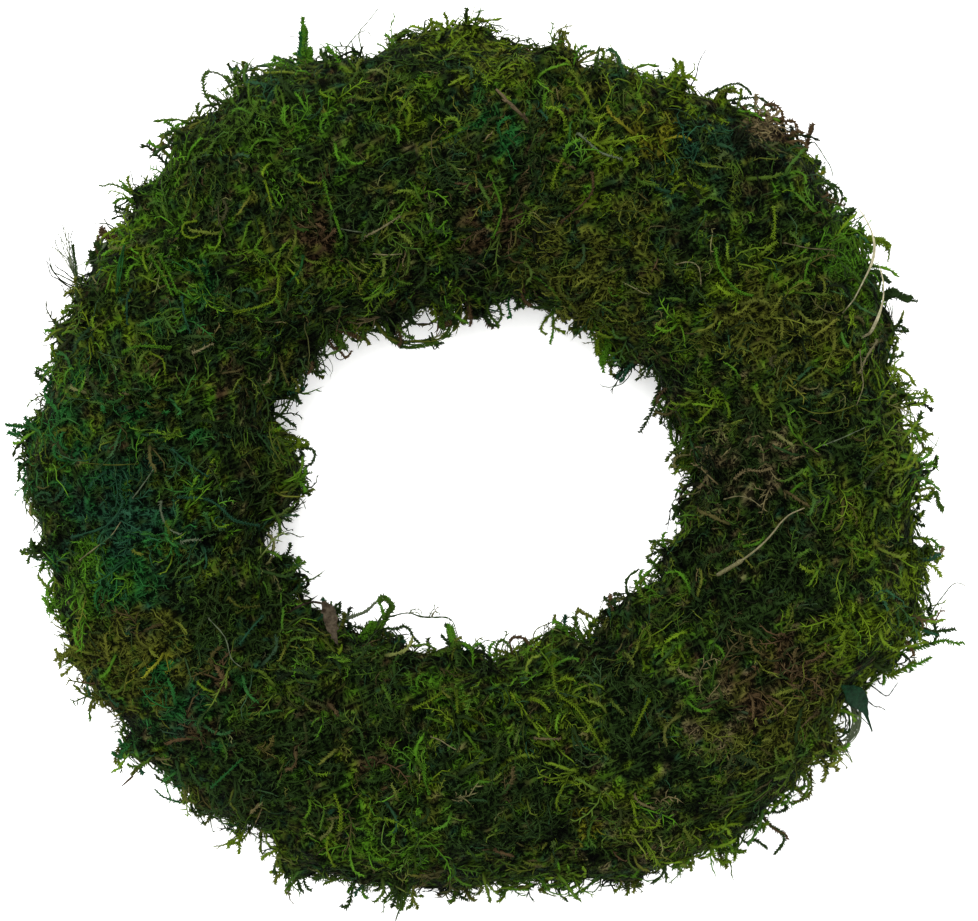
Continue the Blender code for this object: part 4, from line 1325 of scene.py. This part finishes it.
def rim_routes(draw, surface, hand):
    """Lines of short shoots that leave the moss all round its rim, or round the hole where hand is -1."""
    for tuft in range(RIM_TUFTS[hand]):
        turn = 2 * math.pi * (tuft + draw.uniform(-0.4, 0.4)) / RIM_TUFTS[hand]
        edge = surface.rim(turn, hand)
        out = Vector((math.cos(turn), math.sin(turn), 0.0)) * hand
        along = Vector((-out.y, out.x, 0.0))
        for _ in range(RIM_SHOOTS):
            place = edge + along * draw.uniform(-0.003, 0.003) + UP * draw.uniform(-0.004, 0.010)
            ahead = out * draw.uniform(0.2, 0.9) + along * draw.uniform(-1, 1) + UP * draw.uniform(-0.3, 0.5)
            ahead.normalize()
            bend = along * draw.uniform(-0.8, 0.8) - out * 0.4
            points = [place - out * STRAY_DEPTH, place - out * 0.001, place + ahead * RIM_REACH]
            points.append(points[-1] + (ahead + bend).normalized() * RIM_REACH * draw.uniform(0.5, 1.0))
            yield curve_through(points, 2)


def stray_lines(draw, surface):
    """The look, the colour, the route and the slot of each stray, one by one."""
    for number, (look, tone, *pixels) in enumerate(STRAYS + FACE_THREADS):
        count, each, stray = BUNDLES.get(look, (1, look, 0.0))
        slot = "dry_grass" if tone in DRY_TONES else "moss_fern"
        for _ in range(count):
            moved = [(x + draw.uniform(-stray, stray), y + draw.uniform(-stray, stray)) for x, y in pixels]
            stands = number < len(STRAYS)
            route = stray_route(moved, look != "fuzz") if stands else face_route(moved, surface)
            lift = UP * draw.uniform(-0.5, 1.0) * stray * METRES_PER_PIXEL
            shade = 1.0 if stands else FACE_SHADE
            yield each, np.array(TONES[tone]) * shade, [place + lift for place in route], slot
    routes = [*rim_routes(draw, surface, 1), *rim_routes(draw, surface, -1)]
    colours = tones_at(np.array([route[0] for route in routes]), np.ones(len(routes)), SEED)
    for route, colour in zip(routes, colours):
        yield "bushy", colour, route, "moss_fern"


def stray_fronds(moss, surface):
    """The green strays and the dry ones, each kind as one piece."""
    draw = random.Random(SEED + 6)
    meshes = {"moss_fern": [], "dry_grass": []}
    for look, colour, route, slot in stray_lines(draw, surface):
        half_width, shoots_a_metre, shoot_length, shoot_width = STRAY_LOOKS[look]
        frond = Frond()
        frond.stem(route, half_width, 0.5, (0.0, 0.6), knobs=0.25)
        length = sum((b - a).length for a, b in zip(route, route[1:]))
        shoots = round(length * shoots_a_metre)
        for shoot in range(shoots):
            share = 0.15 + 0.84 * shoot / shoots
            sweep, rise = draw.uniform(0.4, 1.0), draw.uniform(-0.6, 0.8)
            root, way = side_ways(route, share, HANDS[shoot % 2], sweep, rise)
            size = shoot_length * draw.uniform(0.6, 1.3) * (1.1 - 0.5 * share)
            if look == "spray" and shoot % 2:
                frond.twig(root, way, size, shoot_width, bend_of(draw), (share, 1.0))
            else:
                frond.needle(root, way, size * 0.8, shoot_width, (share, 1.0))
        mesh = frond.mesh("stray")
        marked(mesh, "tone", np.tile(colour * draw.uniform(0.75, 1.2), (len(mesh.vertices), 1)))
        # Painted shade and highlight: every stray point takes the moss material's shading for a fixed height
        # of 0.6.
        marked(mesh, "height", np.full(len(mesh.vertices), 0.6))
        meshes[slot].append(mesh)
    for slot, made in meshes.items():
        finished(joined("stray_" + slot, made, moss), slot)


# Straw ring and its wire, seen from the back.
STRAW_HALF_WIDTH = (RING_HIGH.x - RING_LOW.x) / 2 - RING_RADIUS
STRAW_CENTRE_HEIGHT = 0.0270
STRAW_HALF_HEIGHT = 0.0285
TIES = 9
TIE_RADIUS = 0.0007
LOOP_POINTS = 44
# The twist at the back: its points, the turn and the way outwards from each to the next, how far inside the
# ring's middle line it starts, and how far beside its loop it lies.
TWIST_POINTS = 15
TWIST_TURN = 0.9
TWIST_PITCH = 0.0007
TWIST_START = 0.004
TWIST_ASIDE = 0.0016
WAIST_DEPTH = 0.0020
WAIST_LENGTH = 0.0050
# The lowest straws are pressed into a layer of this height.
PRESS = 0.0020
STRAWS = {"Straw": (32000, 0.0031)}
STRAW_TILT = (0.25, 0.05, 0.12)
STRAW_STRAY = 0.10
STRAW_STATIONS = 5
# No straw lies lower than this. Its bed is the ring a little shrunk. Straw grows on the bed's lower part, and
# thins out towards the height that it grows to.
STRAW_LOWEST = 0.0003
STRAW_BED_SHRUNK = 0.0016
STRAW_BED_LOWEST = 0.0018
STRAW_SHOWS_TO = 0.020
STRAW_FADE = 0.006


def straw_material():
    """Dry straw: pale gold to brown stems with fine lines along them."""
    straw = Material("straw", 0.55, Specular_IOR_Level=0.35)
    shade = straw.spread(straw.attribute("tint"), 0.0, 1.0)
    stems = straw.ramp(shade, (
        (0.0, (0.12, 0.075, 0.030)),
        (0.35, (0.29, 0.19, 0.075)),
        (0.7, (0.46, 0.34, 0.15)),
        (1.0, (0.60, 0.50, 0.27)),
    ))
    lines = straw.spread(straw.noise(700.0, 4.0), 0.3, 0.7, 0.75, 1.15)
    stain = straw.spread(straw.noise(60.0, 3.0), 0.35, 0.65, 0.75, 1.1)
    straw.bump(straw.noise(1500.0), 0.3, 0.0002)
    return straw.colour(straw.scaled(stems, straw.math("MULTIPLY", lines, stain)))


def straw_stem(draw):
    """A flattened stem of straw, bent to lie round the ring."""
    length = draw.uniform(0.026, 0.050)
    bow = draw.uniform(-0.0006, 0.0010)
    route = []
    for k in range(STRAW_STATIONS):
        share = k / (STRAW_STATIONS - 1) - 0.5
        sway = draw.uniform(-0.0008, 0.0008)
        route.append(Vector((share * length, sway, 0.0006 + bow - bow * 4 * share ** 2)))
    frond = Frond()
    frond.stem(route, draw.uniform(0.0007, 0.0013), 0.85)
    return frond


def pinched(points):
    """Straw points held inside the straw's oval, and inside its waist at each wire."""
    flat = points[:, :2] - np.array(CENTRE[:2])
    radius = np.hypot(flat[:, 0], flat[:, 1])
    turn = np.arctan2(flat[:, 1], flat[:, 0])
    step = 2 * math.pi / TIES
    along = (np.mod(turn + step / 2, step) - step / 2) * RING_RADIUS
    waist = WAIST_DEPTH * 1.25 * np.exp(-(along / WAIST_LENGTH) ** 2)
    across = (radius - RING_RADIUS) / STRAW_HALF_WIDTH
    rise = (points[:, 2] - STRAW_CENTRE_HEIGHT) / STRAW_HALF_HEIGHT
    reach = np.hypot(across, rise)
    most = 1.01 - waist / STRAW_HALF_WIDTH
    squeeze = np.where(reach > most, most / np.maximum(reach, 1e-9), 1.0)
    new_radius = RING_RADIUS + across * squeeze * STRAW_HALF_WIDTH
    height = STRAW_CENTRE_HEIGHT + rise * squeeze * STRAW_HALF_HEIGHT
    lowest = STRAW_LOWEST + waist
    pressed = lowest + PRESS * np.exp(np.minimum((height - lowest) / PRESS - 1, 0))
    return np.column_stack((
        CENTRE.x + np.cos(turn) * new_radius,
        CENTRE.y + np.sin(turn) * new_radius,
        np.where(height < lowest + PRESS, pressed, height),
    ))


def straw_bed():
    """The ring's own form a little shrunk, marked where straw shows: on its underside."""
    bed = object_of("straw_bed", merged_copy("straw_ring"))
    finer = bed.modifiers.new("finer", "SUBSURF")
    finer.subdivision_type = "SIMPLE"
    finer.levels = finer.render_levels = 2
    mesh = baked(bed)
    points = points_of(mesh)
    points -= away_from_ring(points) * STRAW_BED_SHRUNK
    points[:, 2] = np.maximum(points[:, 2], STRAW_BED_LOWEST)
    put_points(mesh, points)
    marked(mesh, "showing", np.clip((STRAW_SHOWS_TO - points[:, 2]) / STRAW_FADE, 0, 1))
    growing(mesh)
    return object_of("straw_bed", mesh)


def straw_ring():
    """A bundle of straw stems pressed into a ring."""
    shapes = shape_collections({"Straw": straw_stem})
    growth = Growth("straw_growth")
    growth.finish([growth.layer("Straw", "showing", growth.round_the_ring, STRAW_TILT, 90)])
    finish = straw_material()
    settings = {
        "Material": finish, "Bed Material": finish, "Seed": SEED, "Middle": CENTRE, "Stray": STRAW_STRAY,
    }
    mesh = growth.grown(straw_bed(), shapes, settings, STRAWS)
    cleared(shapes)
    roots = roots_of(mesh)
    _, which = np.unique(np.round(roots, 6), axis=0, return_inverse=True)
    which = which.reshape(-1)
    marked(mesh, "tint", np.random.default_rng(SEED).beta(2.2, 1.8, which.max() + 1)[which])
    put_points(mesh, pinched(points_of(mesh)))
    in_place_of("straw_ring", object_of("straw_bundle", mesh))


def wire_material():
    """Thin iron wire, dulled, with a little rust."""
    wire = Material("wire", 0.42, Metallic=0.9)
    rust = wire.spread(wire.noise(180.0, 4.0), 0.52, 0.66)
    wire.bump(wire.noise(1200.0), 0.3, 0.0001)
    return wire.colour(wire.mix(rust, (0.22, 0.22, 0.21, 1.0), (0.16, 0.075, 0.035, 1.0)))


def tube(name, route, radius, sides=8, closed=False):
    """A round tube along a route."""
    curve = bpy.data.curves.new(name, "CURVE")
    curve.dimensions = "3D"
    curve.bevel_depth = 1.0
    curve.bevel_resolution = max(0, sides // 2 - 2)
    curve.use_fill_caps = True
    line = curve.splines.new("POLY")
    line.points.add(len(route) - 1)
    line.use_cyclic_u = closed
    radii = radius if isinstance(radius, (list, tuple)) else [radius] * len(route)
    for point, place, size in zip(line.points, route, radii):
        point.co = (*place, 1.0)
        point.radius = size
    holder = object_of(name, curve)
    mesh = baked(holder)
    shape = bmesh.new()
    shape.from_mesh(mesh)
    bmesh.ops.remove_doubles(shape, verts=shape.verts, dist=0.000002)
    bmesh.ops.recalc_face_normals(shape, faces=shape.faces)
    shape.to_mesh(mesh)
    shape.free()
    mesh.shade_smooth()
    return mesh


def joined(name, meshes, finish):
    """Several meshes as one, with one material."""
    shape = bmesh.new()
    for mesh in meshes:
        shape.from_mesh(mesh)
    mesh = mesh_of(shape, name)
    mesh.materials.append(finish)
    return object_of(name, mesh)


def on_ring(turn, radius, height):
    return CENTRE + Vector((radius * math.cos(turn), radius * math.sin(turn), height))


def wire_ties():
    """Loops of wire in the waists of the straw, each closed by a twist at the back."""
    finish = wire_material()
    inset = TIE_RADIUS + 0.0003 - WAIST_DEPTH
    for number in range(TIES):
        turn = 2 * math.pi * number / TIES
        loop = []
        for k in range(LOOP_POINTS):
            side = 2 * math.pi * k / LOOP_POINTS
            radius = RING_RADIUS + (STRAW_HALF_WIDTH + inset) * math.cos(side)
            height = STRAW_CENTRE_HEIGHT + (STRAW_HALF_HEIGHT + inset) * math.sin(side)
            loop.append(on_ring(turn, radius, max(height, TIE_RADIUS + 0.0004)))
        twist = []
        for hand in (0.0, math.pi):
            tail = []
            for k in range(TWIST_POINTS):
                angle = hand + k * TWIST_TURN
                radius = RING_RADIUS - TWIST_START + k * TWIST_PITCH
                sway = TIE_RADIUS * 0.9 * math.sin(angle)
                height = TIE_RADIUS * 2.1 + TIE_RADIUS * 0.9 * math.cos(angle)
                tail.append(on_ring(turn + (sway + TWIST_ASIDE) / RING_RADIUS, radius, height))
            twist.append(tube("twist", tail, TIE_RADIUS * 0.85, sides=6))
        node = f"wire_tie_{number + 1:02d}"
        wires = [tube("loop", loop, TIE_RADIUS, closed=True), *twist]
        in_place_of(node, joined(node.replace("tie", "loop"), wires, finish))


# Dry blades, stalk, twig and leaves: each follows the middle line of its CAD node.
SECTION_GAP = 0.0005
STALK_POINTS = 30
STALK_JOINT = 8
TWIG_POINTS = 22
TWIG_STUBS = (6, 10, 15, 18)


def middle_line(node, count):
    """Points along the middle of a long node, from its root deep in the moss to its tip."""
    points = np.unique(np.round(points_of(frame["nodes"][node].data), 6), axis=0)
    middle = points.mean(axis=0)
    _, _, axes = np.linalg.svd(points - middle)
    place = (points - middle) @ axes[0]
    order = np.argsort(place)
    breaks = np.flatnonzero(np.diff(place[order]) > SECTION_GAP) + 1
    sections = [group for group in np.split(order, breaks) if len(group) > 3]
    stations = np.array([place[group].mean() for group in sections])
    middles = np.array([points[group].mean(axis=0) for group in sections])
    spots = np.linspace(stations[0], stations[-1], count)
    line = [Vector([np.interp(spot, stations, middles[:, k]) for k in range(3)]) for spot in spots]
    reaches = round_the_section(np.array((line[0], line[-1])))[2]
    if reaches[0] > reaches[1]:
        line.reverse()
    return line


def marked_along(mesh, line):
    """Puts on each point how far along a line it lies, from 0 at its root to 1 at its tip."""
    stations = np.array(line)
    nearest = np.linalg.norm(points_of(mesh)[:, None] - stations[None], axis=2).argmin(axis=1)
    marked(mesh, "along", nearest / (len(stations) - 1))
    return mesh


def dry_material(name, dark, pale, roughness=0.6, gloss=0.15, mottling=(260.0, 0.4)):
    """Dry plant skin: fine lines, paler and darker blotches, and paler towards its tip."""
    skin = Material(name, roughness, Specular_IOR_Level=gloss)
    lines = skin.noise(1400.0, 2.0)
    blotches = skin.spread(skin.noise(mottling[0], 3.0), 0.35, 0.65, 0.0, mottling[1])
    share = skin.math("ADD", blotches, skin.spread(skin.attribute("along"), 0.2, 0.9, 0.0, 0.6))
    skin.bump(lines, 0.8, 0.0003)
    shade = skin.spread(lines, 0.3, 0.7, 0.65, 1.25)
    return skin.colour(skin.scaled(skin.mix(share, (*dark, 1.0), (*pale, 1.0)), shade))


def blade(name, line, half_widths, thickness, up, fold=0.3, wave=0.0, columns=6, ragged=0.0):
    """A thin blade along a line: a creased upper face, an underside and closed edges."""
    shape = bmesh.new()
    rows = len(line)
    upper, lower = [], []
    for k in range(rows):
        ahead = (line[min(k + 1, rows - 1)] - line[max(k - 1, 0)]).normalized()
        across = ahead.cross(up).normalized()
        crest = across.cross(ahead).normalized()
        width = half_widths(k / (rows - 1))
        above, below = [], []
        for column in range(columns + 1):
            side = column / columns * 2 - 1
            rise = fold * width * abs(side) + wave * math.sin(k * 1.1 + side * 1.7) * side ** 2
            vein = thickness * (0.9 if column == columns // 2 else 0.35 * (column % 2))
            edge = 1 + ragged * noise.noise(Vector((k * 0.7, 5.0 * (side > 0), 0.0)))
            place = line[k] + across * side * width * edge + crest * rise
            skin = thickness * (0.35 + 0.65 * (1 - side ** 2))
            above.append(shape.verts.new(place + crest * (skin / 2 + vein)))
            below.append(shape.verts.new(place - crest * (skin / 2)))
        upper.append(above)
        lower.append(below)
    for k in range(rows - 1):
        for c in range(columns):
            shape.faces.new((upper[k][c], upper[k][c + 1], upper[k + 1][c + 1], upper[k + 1][c]))
            shape.faces.new((lower[k][c], lower[k + 1][c], lower[k + 1][c + 1], lower[k][c + 1]))
        for c in (0, columns):
            shape.faces.new((upper[k][c], upper[k + 1][c], lower[k + 1][c], lower[k][c]))
    for k in (0, rows - 1):
        for c in range(columns):
            shape.faces.new((upper[k][c], lower[k][c], lower[k][c + 1], upper[k][c + 1]))
    bmesh.ops.recalc_face_normals(shape, faces=shape.faces)
    mesh = mesh_of(shape, name)
    mesh.shade_smooth()
    return mesh


def grass_blades():
    """Dry blades, widest at a place of their own and thin at both ends."""
    finish = dry_material("dry_grass", (0.085, 0.075, 0.038), (0.36, 0.34, 0.21))
    for number, widest, most in ((1, 0.52, 0.00036), (2, 0.27, 0.00042)):
        node = f"grass_blade_{number}"
        line = middle_line(node, 26)

        def half(share, widest=widest, most=most):
            swelling = most * math.exp(-((share - widest) / 0.2) ** 2)
            return (0.00026 + swelling) * min(1.0, (1.03 - share) * 8)

        mesh = blade(node, line, half, 0.00022, Vector((0.3, 0.2, 1.0)).normalized(), fold=0.55, columns=4)
        in_place_of(node, joined(f"dry_blade_{number}", [marked_along(mesh, line)], finish))


def straw_stalk():
    """A stalk that is thick to its joint and thin past it."""
    node = "straw_stalk"
    line = middle_line(node, STALK_POINTS)
    radii = [0.00084] * STALK_JOINT + [0.00100]
    thin = STALK_POINTS - len(radii)
    radii += [0.00044 * (1 - 0.4 * k / (thin - 1)) for k in range(thin)]
    finish = dry_material("dry_stalk", (0.085, 0.080, 0.032), (0.120, 0.105, 0.058))
    stalk = marked_along(tube("stalk", line, radii, 10), line)
    in_place_of(node, joined("dry_stalk", [stalk], finish))


def twig():
    """A brown twig, knotty, with the stubs of side shoots."""
    node = "twig"
    draw = random.Random(SEED + 5)
    line = middle_line(node, TWIG_POINTS)
    line = [place + Vector([draw.uniform(-0.00022, 0.00022) for _ in range(3)]) for place in line]
    last = TWIG_POINTS - 1
    radii = [0.00084 * (1 - 0.35 * k / last) * draw.uniform(0.85, 1.15) for k in range(TWIG_POINTS)]
    stubs = []
    for k in TWIG_STUBS:
        ahead = (line[k + 1] - line[k]).normalized()
        side = ahead.cross(UP) * draw.choice(HANDS) + ahead * 0.6 + UP * draw.uniform(-0.2, 0.6)
        side.normalize()
        reach = draw.uniform(0.0012, 0.0024)
        stub = [line[k], line[k] + side * reach * 0.5, line[k] + side * reach + ahead * 0.001]
        stubs.append(tube("stub", stub, [0.0006, 0.0005, 0.00025], 6))
    finish = dry_material("bark", (0.016, 0.012, 0.006), (0.066, 0.050, 0.026), 0.8, 0.05, (420.0, 0.7))
    whole = joined("brown_twig", [tube("twig", line, radii, 8), *stubs], finish)
    marked_along(whole.data, line)
    in_place_of(node, whole)


LEAF_POINTS = 30
# The pointed leaf's middle in the photo's pixels, from its root to its tip.
POINTED_LEAF = ((840, 684), (848, 690), (855, 696), (861, 703), (865, 711), (868.5, 721), (872, 731))


def followed(line, pixels):
    """A line moved to the photo's pixels at its own heights."""
    shares = np.linspace(0, 1, len(line))
    stops = np.linspace(0, 1, len(pixels))
    across, down = (np.interp(shares, stops, numbers) for numbers in zip(*pixels))
    return [seen_at(x, y, place.z) for x, y, place in zip(across, down, line)]


def leaves():
    """The dark green leaf at the rim, drawn out to a long tip, and the withered brown one by the hole."""
    pointed = followed(middle_line("dark_leaf", LEAF_POINTS), POINTED_LEAF)
    withered = middle_line("brown_leaf", LEAF_POINTS)
    for node, name, line, start, peak, drawn_out, half_width, dark, pale, wave, ragged in (
        ("dark_leaf", "pointed_leaf", pointed, 0.0, 0.625, 3.3, 0.0038,
         (0.002, 0.010, 0.004), (0.005, 0.026, 0.010), 0.0004, 0.25),
        ("brown_leaf", "withered_leaf", withered, 0.46, 0.66, 0.8, 0.0024,
         (0.008, 0.004, 0.002), (0.043, 0.034, 0.022), 0.0018, 0.6),
    ):

        def half(share, start=start, peak=peak, drawn_out=drawn_out, most=half_width):
            spread = min(1.0, max(0.0, (share - start) / (1 - start)))
            return 0.0004 + most * abs(math.sin(math.pi * spread ** peak)) ** drawn_out * (spread > 0)

        mesh = blade(name, line, half, 0.0004, UP, fold=0.25, wave=wave, columns=8, ragged=ragged)
        finish = dry_material(name, dark, pale, 0.7, 0.03, (500.0, 0.9))
        in_place_of(node, joined(name, [marked_along(mesh, line)], finish))


FLOOR_HALF_WIDTH = 3.0
SKY_STRENGTH = 0.76
# The lamps: name, turn and tilt in degrees, strength, and the angle that each one's light spreads over.
SUNS = (
    ("key", 112, 28, 3.3, 55),
    ("overhead", 0, 0, 2.0, 60),
)


def stage_and_camera():
    """A pale floor, soft light from above, and the camera looking straight down."""
    square = bmesh.new()
    bmesh.ops.create_grid(square, x_segments=1, y_segments=1, size=FLOOR_HALF_WIDTH)
    floor = object_of("floor", mesh_of(square, "floor"))
    paint = Material("pale_floor", 0.8, Base_Color=(0.93, 0.93, 0.92, 1.0), Emission_Strength=0.3)
    floor.data.materials.append(paint.made)

    camera = bpy.data.cameras.new("camera")
    camera.sensor_width = 36.0
    camera.lens = camera.sensor_width * (EYE.z - SEEN_HEIGHT) / (PHOTO_WIDTH * METRES_PER_PIXEL)
    camera.clip_end = 20.0
    camera_object = object_of("camera", camera)
    camera_object.location = EYE
    bpy.context.scene.camera = camera_object

    for name, turn, tilt, strength, angle in SUNS:
        light = bpy.data.lights.new(name, "SUN")
        light.energy = strength
        light.angle = math.radians(angle)
        lamp = object_of(name, light)
        lamp.rotation_euler = (0.0, math.radians(tilt), math.radians(turn))
    world = bpy.data.worlds.new("studio")
    world.use_nodes = True
    background = world.node_tree.nodes["Background"]
    background.inputs["Color"].default_value = (1.0, 1.0, 1.0, 1.0)
    background.inputs["Strength"].default_value = SKY_STRENGTH
    bpy.context.scene.world = world
    bpy.context.scene.view_settings.view_transform = "Standard"


stage_and_camera()
MOSS = moss_material()
BED = whole_bed()
moss_bunches(MOSS, BED)
stray_fronds(MOSS, Surface(BED))
straw_ring()
wire_ties()
grass_blades()
straw_stalk()
twig()
leaves()
